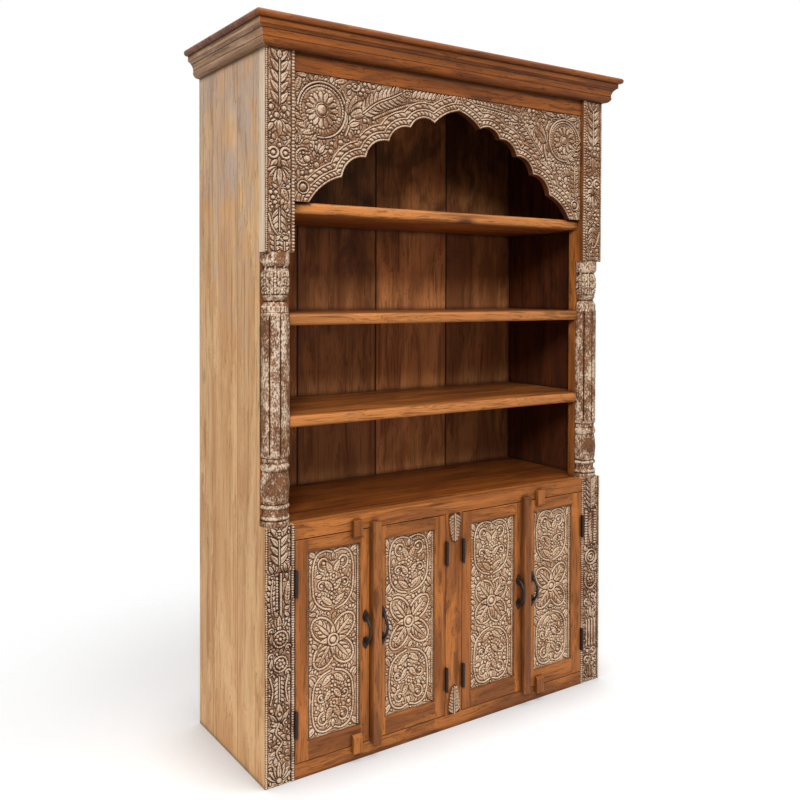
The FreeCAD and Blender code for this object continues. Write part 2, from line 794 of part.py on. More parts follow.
SHELF_FRONT = FRONT + S["shelf_setback"]
RAIL_BACK = RAIL_FRONT + S["frame_rail_thickness"]
for label, top in (("top_shelf", TOP_SHELF_Z), ("middle_shelf", MIDDLE_SHELF_Z),
                   ("low_shelf", LOW_SHELF_Z)):
    notched_board(label, SHELF_FRONT, top, S["shelf_thickness"], S["shelf_nose_radius"])
notched_board("counter_board", RAIL_BACK, S["counter_height"], S["counter_board_thickness"],
              S["edge_easing"])
notched_board("bottom_board", RAIL_BACK, S["bottom_rail_height"], S["bottom_board_thickness"],
              S["edge_easing"])


def cupboard_shelf():
    board = body("cupboard_shelf")
    profile = sketch_on(board, "XY_Plane")
    front = FRONT + S["cupboard_shelf_setback"]
    rectangle(profile, 0, 0, HOUSED_WIDTH, BOARD_FRONT - front)
    slab = pad(board, profile, S["cupboard_shelf_thickness"])
    round_edges(board, slab, edges_at(slab, "Y", 0), S["edge_easing"])
    place(board, HOUSED_LEFT, front, S["cupboard_shelf_height"] - S["cupboard_shelf_thickness"])
    node(board, "cupboard_shelf")


cupboard_shelf()
front_board("counter_rail", OPENING_LEFT, RAIL_FRONT, DOOR_TOP_LIMIT, OPENING_WIDTH,
            S["counter_rail_height"], S["frame_rail_thickness"])
front_board("bottom_rail", OPENING_LEFT, RAIL_FRONT, ZERO, OPENING_WIDTH,
            S["bottom_rail_height"], S["frame_rail_thickness"])


# Carved leaves on the mullion, one hanging and one standing

def mullion_leaf(name, z, up):
    """Up is 1 for a leaf that stands on its base and -1 for one that hangs from it."""
    leaf = body(name)
    profile = sketch_on(leaf, "XZ_Plane")
    half = S["leaf_width"] / 2
    waist = S["leaf_waist"] / 2
    shoulder = S["leaf_length"] / 2
    bow = S["leaf_waist"] / 3
    tip = S["leaf_length"]
    outline(profile, [(-half, 0), (half, 0, bow * up), (waist, tip * up, bow / 2 * up),
                      (-waist, tip * up, bow * up)])
    pad(leaf, profile, S["leaf_thickness"])
    place(leaf, (MULLION_LEFT + MULLION_RIGHT) / 2, RAIL_FRONT, z)
    return leaf


group("mullion_leaves", [
    mullion_leaf("hanging_leaf", DOOR_TOP_LIMIT, -1),
    mullion_leaf("standing_leaf", S["bottom_rail_height"], 1)])


# Hinges. The pin stands in front of the carved boards, in the middle of the gap at the hinge

def hinge_leaves(name, axis_x, side, knuckles, first):
    """Two leaves for one door edge. Side is 1 where the leaf lies to the right of the pin."""
    leaf = body(name)
    near = S["hinge_gap"] / 2 * side
    far = (S["hinge_gap"] / 2 + S["hinge_leaf_thickness"]) * side
    plate = sketch_on(leaf, "XY_Plane")
    rectangle(plate, near, LEAF_FOOT, far, LEAF_FOOT + S["hinge_leaf_width"])
    pad(leaf, plate, S["hinge_length"])
    start = KNUCKLE_PITCH * first
    tongue = sketch_on(leaf, "XY_Plane", (0, 0, start))
    rectangle(tongue, near, 0, far, LEAF_FOOT + S["hinge_leaf_thickness"])
    tongue_pad = pad(leaf, tongue, KNUCKLE_LENGTH)
    barrel = sketch_on(leaf, "XY_Plane", (0, 0, start))
    circle(barrel, 0, 0, S["barrel_diameter"])
    barrel_pad = pad(leaf, barrel, KNUCKLE_LENGTH)
    repeat(leaf, [tongue_pad, barrel_pad], "Z_Axis", KNUCKLE_PITCH * 2, knuckles)
    bore = sketch_on(leaf, "XY_Plane")
    circle(bore, 0, 0, S["pin_diameter"] + S["pin_play"] * 2)
    pocket(leaf, bore, S["hinge_length"], reverse=True)
    sink = sketch_on(leaf, "XY_Plane", (0, SCREW_ROW, SCREW_PITCH / 2))
    wide = S["screw_head_diameter"] / 2 + S["screw_play"]
    narrow = S["screw_diameter"] / 2 + S["screw_play"]
    outline(sink, [(near, 0), (far, 0), (far, narrow), (near, wide)])
    countersink = leaf.newObject("PartDesign::Groove", "Groove")
    countersink.Profile = sink
    countersink.ReferenceAxis = (sink, ["H_Axis"])
    countersink.Angle = 360
    repeat(leaf, [countersink], "Z_Axis", SCREW_PITCH, SCREWS_PER_LEAF)
    repeat(leaf, [], "Z_Axis", HINGE_SPACING, 2, whole=True)
    place(leaf, axis_x, BARREL_AXIS, LOWER_HINGE_FOOT)
    return leaf


def hinge_pins(name, axis_x):
    """Two pins, each with a small button on its top end."""
    pin = body(name)
    profile = sketch_on(pin, "XZ_Plane")
    top = S["hinge_length"] + S["pin_play"]
    outline(profile, [(0, 0), (S["pin_diameter"] / 2, 0), (S["pin_diameter"] / 2, top),
                      (S["pin_head_diameter"] / 2, top),
                      (S["pin_diameter"] / 2, top + S["pin_head_height"]),
                      (0, top + S["pin_head_height"])])
    turned = pin.newObject("PartDesign::Revolution", "Revolution")
    turned.Profile = profile
    turned.ReferenceAxis = (profile, ["V_Axis"])
    turned.Angle = 360
    repeat(pin, [turned], "Z_Axis", HINGE_SPACING, 2)
    place(pin, axis_x, BARREL_AXIS, LOWER_HINGE_FOOT)
    return pin


def hinge_screws(name, axis_x, side):
    """Countersunk screws through both leaves of one edge. Side as for the leaf."""
    screw = body(name)
    profile = sketch_on(screw, "XY_Plane")
    head = S["hinge_leaf_thickness"] * side
    shank = S["screw_diameter"] / 2
    outline(profile, [(0, 0), (S["screw_length"] * side, 0),
                      ((S["screw_length"] - S["screw_tip"]) * side, shank), (head, shank),
                      (0, S["screw_head_diameter"] / 2)])
    turned = screw.newObject("PartDesign::Revolution", "Revolution")
    turned.Profile = profile
    turned.ReferenceAxis = (profile, ["H_Axis"])
    turned.Angle = 360
    repeat(screw, [turned], "Z_Axis", SCREW_PITCH, SCREWS_PER_LEAF, HINGE_SPACING)
    place(screw, axis_x + S["hinge_gap"] / 2 * side, BARREL_AXIS + SCREW_ROW,
          LOWER_HINGE_FOOT + SCREW_PITCH / 2)
    return screw


# Doors

class Door:
    """Where one door lies. hinge_side is -1 for hinges on its left edge and 1 on its right."""

    def __init__(self, name, left, width, hinge_side, hinge_stile, meeting_stile):
        self.name = name
        self.left = left
        self.width = width
        self.hinge_side = hinge_side
        left_stile, right_stile = hinge_stile, meeting_stile
        if hinge_side > 0:
            left_stile, right_stile = meeting_stile, hinge_stile
        self.left_stile = left_stile
        self.right_stile = right_stile
        self.right = left + width
        self.opening_left = left + left_stile
        self.opening_width = width - left_stile - right_stile
        self.opening_foot = DOOR_FOOT + S["door_bottom_rail_height"]
        self.opening_height = (DOOR_HEIGHT - S["door_bottom_rail_height"]
                               - S["door_top_rail_height"])
        self.axis_x = left - S["hinge_gap"] / 2 if hinge_side < 0 else self.right + S["hinge_gap"] / 2


OUTER_STILES = (S["outer_hinge_stile_width"], S["outer_meeting_stile_width"])
INNER_STILES = (S["inner_hinge_stile_width"], S["inner_meeting_stile_width"])
DOORS = (
    Door("door_1", OPENING_LEFT + S["hinge_gap"], OUTER_DOOR_WIDTH, -1, *OUTER_STILES),
    Door("door_2", MULLION_LEFT - S["hinge_gap"] - S["inner_door_width"], S["inner_door_width"], 1,
         *INNER_STILES),
    Door("door_3", MULLION_RIGHT + S["hinge_gap"], S["inner_door_width"], -1, *INNER_STILES),
    Door("door_4", OPENING_LEFT + OPENING_WIDTH - S["hinge_gap"] - OUTER_DOOR_WIDTH,
         OUTER_DOOR_WIDTH, 1, *OUTER_STILES),
)
GROOVE_FRONT = S["panel_setback"]
GROOVE_BACK = S["panel_setback"] + S["panel_thickness"]


def pull_x(door):
    """Pulls sit in the middle of what the batten leaves of the meeting stile."""
    if door.name in ("door_1", "door_4"):
        inset = S["outer_meeting_stile_width"] / 2
    else:
        inset = (S["inner_meeting_stile_width"] + S["batten_width"]) / 2
    return door.right - inset if door.hinge_side < 0 else door.left + inset


def door_stile(door, name, x, width, groove_on_right, carries_hinges):
    """An upright of the door frame, grooved for the panel along its inner edge."""
    stile = body(f"{door.name}_{name}")
    section = sketch_on(stile, "XY_Plane")
    depth = S["door_thickness"]
    inner = width if groove_on_right else ZERO
    outer = ZERO if groove_on_right else width
    groove = width - S["panel_groove_depth"] if groove_on_right else S["panel_groove_depth"]
    corners = [(outer, 0), (inner, 0), (inner, GROOVE_FRONT), (groove, GROOVE_FRONT),
               (groove, GROOVE_BACK), (inner, GROOVE_BACK), (inner, depth), (outer, depth)]
    outline(section, corners)
    post = pad(stile, section, DOOR_HEIGHT)
    round_edges(stile, post, edges_at(post, "Y", 0), S["edge_easing"])
    if carries_hinges:
        seat_hinges(stile, outer, groove_on_right, DOOR_FRONT, DOOR_FOOT)
    else:
        holes = sketch_on(stile, "XZ_Plane")
        for nail_z in NAIL_HEIGHTS:
            circle(holes, pull_x(door) - x, nail_z - DOOR_FOOT,
                   S["nail_shank_diameter"] + S["screw_play"] * 2)
        pocket(stile, holes, S["nail_length"])
    place(stile, x, DOOR_FRONT, DOOR_FOOT)
    return stile


def door_rail(door, name, z, height, groove_on_top):
    """A cross rail, grooved for the panel, with a tongue at each end in the stiles' grooves."""
    rail = body(f"{door.name}_{name}")
    section = sketch_on(rail, "YZ_Plane")
    depth = S["door_thickness"]
    inner = height if groove_on_top else ZERO
    outer = ZERO if groove_on_top else height
    groove = height - S["panel_groove_depth"] if groove_on_top else S["panel_groove_depth"]
    corners = [(0, outer), (0, inner), (GROOVE_FRONT, inner), (GROOVE_FRONT, groove),
               (GROOVE_BACK, groove), (GROOVE_BACK, inner), (depth, inner), (depth, outer)]
    outline(section, corners)
    beam = pad(rail, section, door.opening_width)
    round_edges(rail, beam, edges_at(beam, "Y", 0), S["edge_easing"])
    tongue = sketch_on(rail, "YZ_Plane", (0, 0, -S["panel_groove_depth"]))
    low, high = (outer, groove) if groove_on_top else (groove, outer)
    rectangle(tongue, GROOVE_FRONT, low, GROOVE_BACK, high)
    pad(rail, tongue, door.opening_width + S["panel_groove_depth"] * 2)
    place(rail, door.opening_left, DOOR_FRONT, z)
    return rail


def opening_bevel(door):
    """The wedge that bevels the front arris all round the panel opening."""
    run, depth = S["opening_bevel_width"], S["opening_bevel_depth"]
    wedge = doc.addObject("Part::Wedge", f"{door.name}_bevel")
    wide, tall = door.opening_width + run * 2, door.opening_height + run * 2
    bind(wedge, Xmin=0, Zmin=0, Xmax=wide, Zmax=tall, Ymin=0, Ymax=depth,
         X2min=run, Z2min=run, X2max=wide - run, Z2max=tall - run)
    place(wedge, door.opening_left - run, DOOR_FRONT, door.opening_foot - run)
    return wedge


def bevelled(label, members, wedge):
    pair = doc.addObject("Part::Compound", f"{label}_blanks")
    pair.Links = members
    cut = doc.addObject("Part::Cut", label)
    cut.Base = pair
    cut.Tool = wedge
    return node(cut, label)


def door_frame(door):
    hinge_left = door.hinge_side < 0
    wedge = opening_bevel(door)
    bevelled(f"{door.name}_stiles", [
        door_stile(door, "left_stile", door.left, door.left_stile, True, hinge_left),
        door_stile(door, "right_stile", door.right - door.right_stile, door.right_stile, False,
                   not hinge_left)], wedge)
    top_z = door.opening_foot + door.opening_height
    bevelled(f"{door.name}_rails", [
        door_rail(door, "bottom_rail", DOOR_FOOT, S["door_bottom_rail_height"], True),
        door_rail(door, "top_rail", top_z, S["door_top_rail_height"], False)], wedge)


def door_panel(door):
    """The carved panel, loose in the grooves."""
    hold = S["panel_groove_depth"] - S["panel_play"]
    panel = block(f"{door.name}_panel",
                  (door.opening_left - hold, DOOR_FRONT + GROOVE_FRONT, door.opening_foot - hold),
                  (door.opening_width + hold * 2, S["panel_thickness"],
                   door.opening_height + hold * 2))
    node(panel, f"{door.name}_panel")


# Forged pulls with leaf-shaped end plates, each nailed once

NAIL_HEIGHTS = (
    S["pull_height"] - S["pull_plate_spacing"] / 2 - S["nail_inset"],
    S["pull_height"] + S["pull_plate_spacing"] / 2 + S["nail_inset"],
)


def pull_plate(name, x, z, up):
    """A pointed leaf whose broad end carries the grip. Up is the side its point is on."""
    plate = body(name)
    half = S["pull_plate_width"] / 2
    heel = S["pull_plate_length"] / 2
    bow = S["pull_plate_width"] / 5
    profile = sketch_on(plate, "XZ_Plane")
    outline(profile, [(-half / 2, -heel * up), (half / 2, -heel * up, bow / 2 * up),
                      (half, 0, bow / 3 * up), (0, heel * up, bow / 3 * up),
                      (-half, 0, bow / 2 * up)])
    pad(plate, profile, S["pull_plate_thickness"])
    hole = sketch_on(plate, "XZ_Plane")
    circle(hole, 0, S["nail_inset"] * up, S["nail_shank_diameter"] + S["screw_play"] * 2)
    pocket(plate, hole, S["pull_plate_thickness"], reverse=True)
    place(plate, x, DOOR_FRONT, z)
    return plate


def grip(name, x):
    """A round bar bent to a bow. It is cut off flat where it meets the plates."""
    reach = S["grip_projection"] - S["grip_diameter"] / 2
    radius = half_chord_radius(S["grip_span"], ZERO, reach)
    ring = doc.addObject("Part::Torus", f"{name}_ring")
    bind(ring, Radius1=radius, Radius2=S["grip_diameter"] / 2)
    plate_face = DOOR_FRONT - S["pull_plate_thickness"] / 2
    turn = FreeCAD.Rotation(FreeCAD.Vector(0, 1, 0), 90)
    place(ring, x, DOOR_FRONT - S["pull_plate_thickness"] - reach + radius, S["pull_height"], turn)
    size = S["grip_span"] * 2
    front_half = block(f"{name}_front", (x - size / 2, plate_face - size, S["pull_height"] - size / 2),
                       (size, size, size))
    bow = doc.addObject("Part::Common", name)
    bow.Base = ring
    bow.Tool = front_half
    return bow


def pull(door):
    x = pull_x(door)
    spread = S["pull_plate_spacing"] / 2
    parts = [
        grip(f"{door.name}_grip", x),
        pull_plate(f"{door.name}_upper_plate", x, S["pull_height"] + spread, 1),
        pull_plate(f"{door.name}_lower_plate", x, S["pull_height"] - spread, -1)]
    forged = doc.addObject("Part::MultiFuse", f"{door.name}_pull")
    forged.Shapes = parts
    node(forged, f"{door.name}_pull")


def pull_nails(door):
    """Two round-headed nails. Each shank runs back through its plate into the stile."""
    nail = body(f"{door.name}_nails")
    face = S["pull_plate_thickness"]
    profile = sketch_on(nail, "XY_Plane")
    head, shank = S["nail_head_diameter"] / 2, S["nail_shank_diameter"] / 2
    tip = S["nail_length"] - face
    crown = -face - S["nail_head_height"]
    outline(profile, [(0, crown), (head * NAIL_CROWN_SHARE, crown), (head, -face),
                      (shank, -face), (shank, tip - head), (0, tip)])
    turned = nail.newObject("PartDesign::Revolution", "Revolution")
    turned.Profile = profile
    turned.ReferenceAxis = (profile, ["V_Axis"])
    turned.Angle = 360
    repeat(nail, [turned], "Z_Axis", NAIL_HEIGHTS[1] - NAIL_HEIGHTS[0], 2)
    place(nail, pull_x(door), DOOR_FRONT, NAIL_HEIGHTS[0])
    return nail


def batten(door):
    """A moulded strip flush with the meeting edge, long enough to lap both frame rails."""
    strip = body(f"{door.name}_batten")
    section = sketch_on(strip, "XY_Plane")
    rectangle(section, 0, 0, S["batten_width"], S["batten_projection"])
    length = DOOR_HEIGHT + S["batten_top_lap"] + S["batten_bottom_lap"]
    bar = pad(strip, section, length)
    upright = [name for name in edges_at(bar, "Y", 0) if not is_level(bar, name)]
    round_edges(strip, bar, upright, S["batten_edge_radius"])
    x = door.left if door.hinge_side > 0 else door.right - S["batten_width"]
    place(strip, x, DOOR_FRONT - S["batten_projection"], DOOR_FOOT - S["batten_bottom_lap"])
    node(strip, f"{door.name}_batten")


def stop_block(door, name, z, foot_bevel):
    """A wooden block on the door rail that laps the frame rail. Its door end is bevelled."""
    stop = body(f"{door.name}_{name}")
    profile = sketch_on(stop, "YZ_Plane")
    high, deep, bevel = S["block_height"], S["block_projection"], S["block_bevel"]
    if foot_bevel:
        corners = [(bevel, 0), (deep, 0), (deep, high), (0, high), (0, bevel)]
    else:
        corners = [(0, 0), (deep, 0), (deep, high), (bevel, high), (0, high - bevel)]
    outline(profile, corners)
    pad(stop, profile, S["block_width"])
    if door.hinge_side < 0:
        x = door.right - S["block_inset"] - S["block_width"]
    else:
        x = door.left + S["block_inset"]
    place(stop, x, DOOR_FRONT - S["block_projection"], z)
    return stop


def stop_blocks(door):
    door_top = DOOR_FOOT + DOOR_HEIGHT
    group(f"{door.name}_stop_blocks", [
        stop_block(door, "top_block", door_top + S["block_top_lap"] - S["block_height"], True),
        stop_block(door, "bottom_block", DOOR_FOOT - S["block_bottom_lap"], False)])


frame_leaves = []
frame_screws = []
for door in DOORS:
    door_frame(door)
    door_panel(door)
    pull(door)
    onto_frame, onto_door = door.hinge_side, -door.hinge_side
    group(f"{door.name}_hinge_leaves", [
        hinge_leaves(f"{door.name}_leaves", door.axis_x, onto_door, KNUCKLES // 2, 1),
        hinge_pins(f"{door.name}_pins", door.axis_x)])
    group(f"{door.name}_fixings", [
        hinge_screws(f"{door.name}_screws", door.axis_x, onto_door), pull_nails(door)])
    frame_leaves.append(hinge_leaves(f"{door.name}_frame_leaves", door.axis_x, onto_frame,
                                     KNUCKLES - KNUCKLES // 2, 0))
    frame_screws.append(hinge_screws(f"{door.name}_frame_screws", door.axis_x, onto_frame))
    if door.name in ("door_1", "door_4"):
        stop_blocks(door)
    else:
        batten(door)
group("frame_hinge_leaves", frame_leaves)
group("frame_hinge_screws", frame_screws)


# Check every object, then write one file for each sub-part

doc.recompute()
faults = []
for item in doc.Objects:
    if "Invalid" in item.State or "Error" in item.State:
        faults.append(f"{item.Label}: {item.State}")
    if item.TypeId in ("PartDesign::Pocket", "PartDesign::Groove"):
        if item.Shape.Volume > item.BaseFeature.Shape.Volume - TOLERANCE:
            faults.append(f"{item.Label} in {item.getParentGeoFeatureGroup().Label} cuts nothing")
for item in nodes:
    if item.Shape.isNull() or not item.Shape.isValid():
        faults.append(f"{item.Label}: shape is null or not valid")
if faults:
    raise RuntimeError("; ".join(faults))

os.makedirs("parts", exist_ok=True)
for item in nodes:
    item.Shape.exportStep(f"parts/{item.Label}.step")
print(len(nodes), "sub-parts,", sum(len(item.Shape.Solids) for item in nodes), "solids")
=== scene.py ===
import math

import bpy
import numpy as np
from mathutils import Matrix, Vector


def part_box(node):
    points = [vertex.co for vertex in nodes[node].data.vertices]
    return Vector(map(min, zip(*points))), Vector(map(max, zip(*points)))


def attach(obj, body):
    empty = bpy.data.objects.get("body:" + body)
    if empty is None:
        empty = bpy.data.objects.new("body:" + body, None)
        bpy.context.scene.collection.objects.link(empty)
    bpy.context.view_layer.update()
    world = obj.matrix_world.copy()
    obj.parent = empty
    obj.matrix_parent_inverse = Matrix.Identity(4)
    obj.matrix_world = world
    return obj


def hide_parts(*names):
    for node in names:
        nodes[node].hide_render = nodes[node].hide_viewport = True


# A carved arch bookcase with four doors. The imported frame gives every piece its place. Here the
# wood, the whitewash and the iron get their finish, and the carved pieces are cut as real relief.
# Carving is worked out in millimetres, and becomes metres when its mesh is made.

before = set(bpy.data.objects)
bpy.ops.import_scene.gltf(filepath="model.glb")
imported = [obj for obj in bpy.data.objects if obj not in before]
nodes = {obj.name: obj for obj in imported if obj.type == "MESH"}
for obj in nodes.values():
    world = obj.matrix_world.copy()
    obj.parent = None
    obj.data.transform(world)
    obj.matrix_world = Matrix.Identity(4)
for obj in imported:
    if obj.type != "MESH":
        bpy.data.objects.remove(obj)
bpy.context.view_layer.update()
scene = bpy.context.scene
MM = 0.001
X, Y, Z = 0, 1, 2


def front_of(node):
    """A node's corners, and the width and height of its front, in millimetres."""
    low, high = (np.array(corner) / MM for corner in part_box(node))
    return low, high, high[X] - low[X], high[Z] - low[Z]


# Materials

# Socket places of a colour Mix node
MIX_A, MIX_B, MIX_RESULT = 6, 7, 2


def colour(code):
    """An sRGB hex colour as the linear values that a shader takes."""
    parts = [int(code[i:i + 2], 16) / 255 for i in (1, 3, 5)]
    return [p / 12.92 if p <= 0.04045 else ((p + 0.055) / 1.055) ** 2.4 for p in parts] + [1.0]


def feed(node, inputs):
    """Set a node's inputs, in their order or by name: each is a value, or the node or output
    that feeds it."""
    for key, value in inputs.items() if isinstance(inputs, dict) else enumerate(inputs):
        if isinstance(value, bpy.types.Node):
            value = value.outputs[0]
        if isinstance(value, bpy.types.NodeSocket):
            node.id_data.links.new(value, node.inputs[key])
        else:
            node.inputs[key].default_value = value


def add(tree, kind, inputs=(), **settings):
    """Add one node with its settings and links."""
    made = tree.nodes.new("ShaderNode" + kind)
    for key, value in settings.items():
        setattr(made, key, value)
    feed(made, inputs)
    return made


def new_material(name):
    made = bpy.data.materials.new(name)
    made.use_nodes = True
    return made, made.node_tree, made.node_tree.nodes["Principled BSDF"]


def layered(tree, base, layers):
    """Colours laid over a base. A layer is the value that brings it in, how it shows (between
    which two values, and how strongly), how much of that this finish has, and its colour."""
    tone = colour(base)
    for value, (low, high, strength), amount, over in layers:
        share = add(tree, "MapRange", [value, low, high, 0, strength * amount],
                    interpolation_type="SMOOTHSTEP")
        tone = add(tree, "Mix", {0: share, MIX_A: tone, MIX_B: colour(over)},
                   data_type="RGBA").outputs[MIX_RESULT]
    return tone


def by_axis(grain, across, along):
    """One number for each axis, with another one along the grain."""
    return [along if axis == grain else across for axis in (X, Y, Z)]


# Patterns of mango wood: width across the grain and length along it in millimetres, then detail
# and distortion. Real pores are about 0.2 mm wide; they are drawn coarser here, to show.
FIGURE = (70, 330, 2.5, 0.8)
STREAKS = (11, 480, 3.0, 0.2)
FINE_LINES = (2.8, 90, 3.0, 0.0)
PORES = (0.8, 11, 2.0, 0.0)
STAIN_AND_SHADE_PATTERN = (75, 130, 4.0, 0.5)
KNOT_SPACING_MM = (230, 520)
KNOTLESS_SHARE = 0.62
FLOW_MM = 60
CORNER_SHADE_MM = 20
EDGE_MM = 3
SUNNED_MM = (4, 14)
PATTERN_ROUGHNESS = 0.55
CORNER_RAYS = 8

# How each layer shows: between which two of its values, and how strongly
FIGURE_SHOWS = (0.35, 0.66, 1.0)
STREAKS_SHOW = (0.5, 0.7, 0.65)
FINE_LINES_SHOW = (0.5, 0.72, 0.7)
PORES_SHOW = (0.6, 0.76, 0.35)
KNOTS_SHOW = (0.1, 0.02, 0.8)
STAIN_AND_SHADE_SHOWS = (0.26, 0.62, 0.75)
CORNER_SHADE_SHOWS = (0.95, 0.4, 0.7)
RUBBED_EDGES_AND_HIGHLIGHT_SHOW = (0.85, 0.5, 0.5)
SUNNED_STRENGTH = 0.6
LINE_STRENGTH = 0.9
LINE_CORE = 0.4

PORE_COLOUR = "#3A2010"
KNOT_COLOUR = "#2B160C"
# Dark joints, and the painted shade in inner corners and in the cornice's lines
SEAM_AND_SHADE_COLOUR = "#1B0E08"
SUNNED_COLOUR = "#CC8448"

# Old stains on the sides, and the painted shade under the arch on the back, grow from this
# share to full between two heights, in metres
STAIN_AND_SHADE_RISE = (0.9, 1.65)
STAIN_AND_SHADE_LEAST = 0.45
SEAM_JUMP = 0.37
BOARD_SHIFT = (3.1, 5.3, 7.7)
# Dark streaks are rougher than the wood between them
STREAK_RANGE = (0.3, 0.7)
STREAK_ROUGHNESS = (-0.06, 0.1)
PORE_DEPTH_MM = 0.3
PORE_STRENGTH = 0.4
WOOD_IOR = 1.5
WOOD_SHINE = 0.2


def wood(name, grain, tones, roughness, figured=1.0, seams_and_shadow_lines=(), line_axis=Y, line_mm=0.0,
         stain_and_shade=None, sunned=None, uneven=(0.9, 1.08)):
    """Sawn, planed and waxed mango wood: broad figure, thin growth streaks, fine open pores and
    a few knots, all drawn out along the grain. Tones are its light, middle and dark colours,
    and figured is how strongly the dark ones show. Each seam is a joint between boards of one
    panel, in metres along the seam axis: the grain jumps there, as it does where two boards
    meet, and dirt fills the joint. On the cornice they are the lines where its moulding steps,
    and the dark line there is painted shade. The colour of stain and shade is laid on in blots,
    more of it higher up: old stains on the sides, and painted shade under the arch on the back.
    Sunned is where along y the front edge lies that hands and light have bleached. Uneven is how
    much darker or lighter one board may be than the next."""
    made, tree, shader = new_material(name)
    place = add(tree, "TexCoord").outputs["Object"]
    parts = add(tree, "SeparateXYZ", [place]).outputs
    board = add(tree, "ObjectInfo").outputs["Random"]
    for seam in seams_and_shadow_lines:
        past = add(tree, "Math", [parts[line_axis], seam], operation="GREATER_THAN")
        board = add(tree, "Math", [past, SEAM_JUMP, board], operation="MULTIPLY_ADD")
    source = shifted = add(tree, "VectorMath", [board, BOARD_SHIFT, place],
                           operation="MULTIPLY_ADD")

    # The lines bend with the broad figure, as growth rings do
    patterns = []
    for across, along, detail, distortion in (FIGURE, STREAKS, FINE_LINES, PORES, STAIN_AND_SHADE_PATTERN):
        scale = by_axis(grain, 1 / (across * MM), 1 / (along * MM))
        drawn = add(tree, "VectorMath", [source, scale], operation="MULTIPLY")
        patterns.append(add(tree, "TexNoise", {
            "Vector": drawn, "Scale": 1.0, "Detail": detail, "Roughness": PATTERN_ROUGHNESS,
            "Distortion": distortion}))
        if source is shifted:
            flow = by_axis(grain, FLOW_MM * MM, 0.0)
            source = add(tree, "VectorMath", [patterns[0], flow, shifted],
                         operation="MULTIPLY_ADD")
    figure, streaks, fine, pores, stain_and_shade_noise = patterns

    # Knots: few, dark, and longer along the grain
    scale = by_axis(grain, *(1 / (spacing * MM) for spacing in KNOT_SPACING_MM))
    spread = add(tree, "VectorMath", [source, scale], operation="MULTIPLY")
    cells = add(tree, "TexVoronoi", {"Vector": spread, "Scale": 1.0}).outputs
    chance = add(tree, "SeparateXYZ", [cells["Color"]])
    knotless = add(tree, "Math", [chance, KNOTLESS_SHARE], operation="LESS_THAN")
    knot = add(tree, "Math", [knotless, cells["Distance"]], operation="ADD")

    light, middle, dark = tones
    layers = [(figure, FIGURE_SHOWS, 1, light)]
    if stain_and_shade:
        rise = add(tree, "MapRange", [parts[Z], *STAIN_AND_SHADE_RISE, STAIN_AND_SHADE_LEAST])
        stain_and_shade_share = add(tree, "Math", [stain_and_shade_noise, rise], operation="MULTIPLY")
        layers.append((stain_and_shade_share, STAIN_AND_SHADE_SHOWS, 1, stain_and_shade))
    if sunned:
        fade = (sunned + SUNNED_MM[1] * MM, sunned + SUNNED_MM[0] * MM, SUNNED_STRENGTH)
        layers.append((parts[Y], fade, 1, SUNNED_COLOUR))
    layers += [(streaks, STREAKS_SHOW, figured, dark), (fine, FINE_LINES_SHOW, figured, dark),
               (pores, PORES_SHOW, figured, PORE_COLOUR), (knot, KNOTS_SHOW, 1, KNOT_COLOUR)]
    # Painted shade darkens the inner corners. Use rubs the outer edges pale, and that pale edge
    # is also a painted highlight
    corner = add(tree, "AmbientOcclusion", {"Distance": CORNER_SHADE_MM * MM}, samples=CORNER_RAYS)
    rubbed = add(tree, "AmbientOcclusion", {"Distance": EDGE_MM * MM}, samples=CORNER_RAYS,
                 inside=True, only_local=True)
    layers += [(corner.outputs["AO"], CORNER_SHADE_SHOWS, 1, SEAM_AND_SHADE_COLOUR),
               (rubbed.outputs["AO"], RUBBED_EDGES_AND_HIGHLIGHT_SHOW, 1, light)]
    # Dark lines: dirt in the board joints, and painted shadow lines on the cornice
    for seam in seams_and_shadow_lines if line_mm else ():
        off = add(tree, "Math", [parts[line_axis], seam], operation="SUBTRACT")
        far = add(tree, "Math", [off], operation="ABSOLUTE")
        line = (line_mm * MM, line_mm * LINE_CORE * MM, LINE_STRENGTH)
        layers.append((far, line, 1, SEAM_AND_SHADE_COLOUR))
    tone = layered(tree, middle, layers)

    drift = add(tree, "TexWhiteNoise", {"W": board}, noise_dimensions="1D")
    level = add(tree, "MapRange", [drift, 0, 1, *uneven])
    rough = add(tree, "MapRange", [streaks, *STREAK_RANGE,
                                   *(roughness + more for more in STREAK_ROUGHNESS)])
    relief = add(tree, "Math", [fine, pores], operation="SUBTRACT")
    feed(shader, {
        "Base Color": add(tree, "VectorMath", {0: tone, "Scale": level}, operation="SCALE"),
        "Roughness": rough, "IOR": WOOD_IOR, "Specular IOR Level": WOOD_SHINE,
        "Normal": add(tree, "Bump", {"Height": relief, "Strength": PORE_STRENGTH,
                                     "Distance": PORE_DEPTH_MM * MM})})
    return made


# Patterns of the whitewash: size in millimetres and detail. Its chips are a millimetre or two
# across; they are drawn a little coarser, to show
CHIPS = (3.6, 5.0)
CLOUDS = (45, 3.0)
LIME_PATTERN_ROUGHNESS = 0.65
CLOUDS_SHOW = (0.35, 0.65, 1.0)
THIN_PAINT_SHOWS = (0.28, 0.46, 1.0)
THICK_PAINT_SHOWS = (0.55, 0.75, 1.0)
PITS_SHOW = (0.37, 0.3, 1.0)
CUTS_SHOW = (0.6, 0.1, 1.0)
LIME_ROUGHNESS = (0.6, 0.85)
CHIP_DEPTH_MM = 0.35
CHIP_STRENGTH = 0.5
LIME_SHINE = 0.25


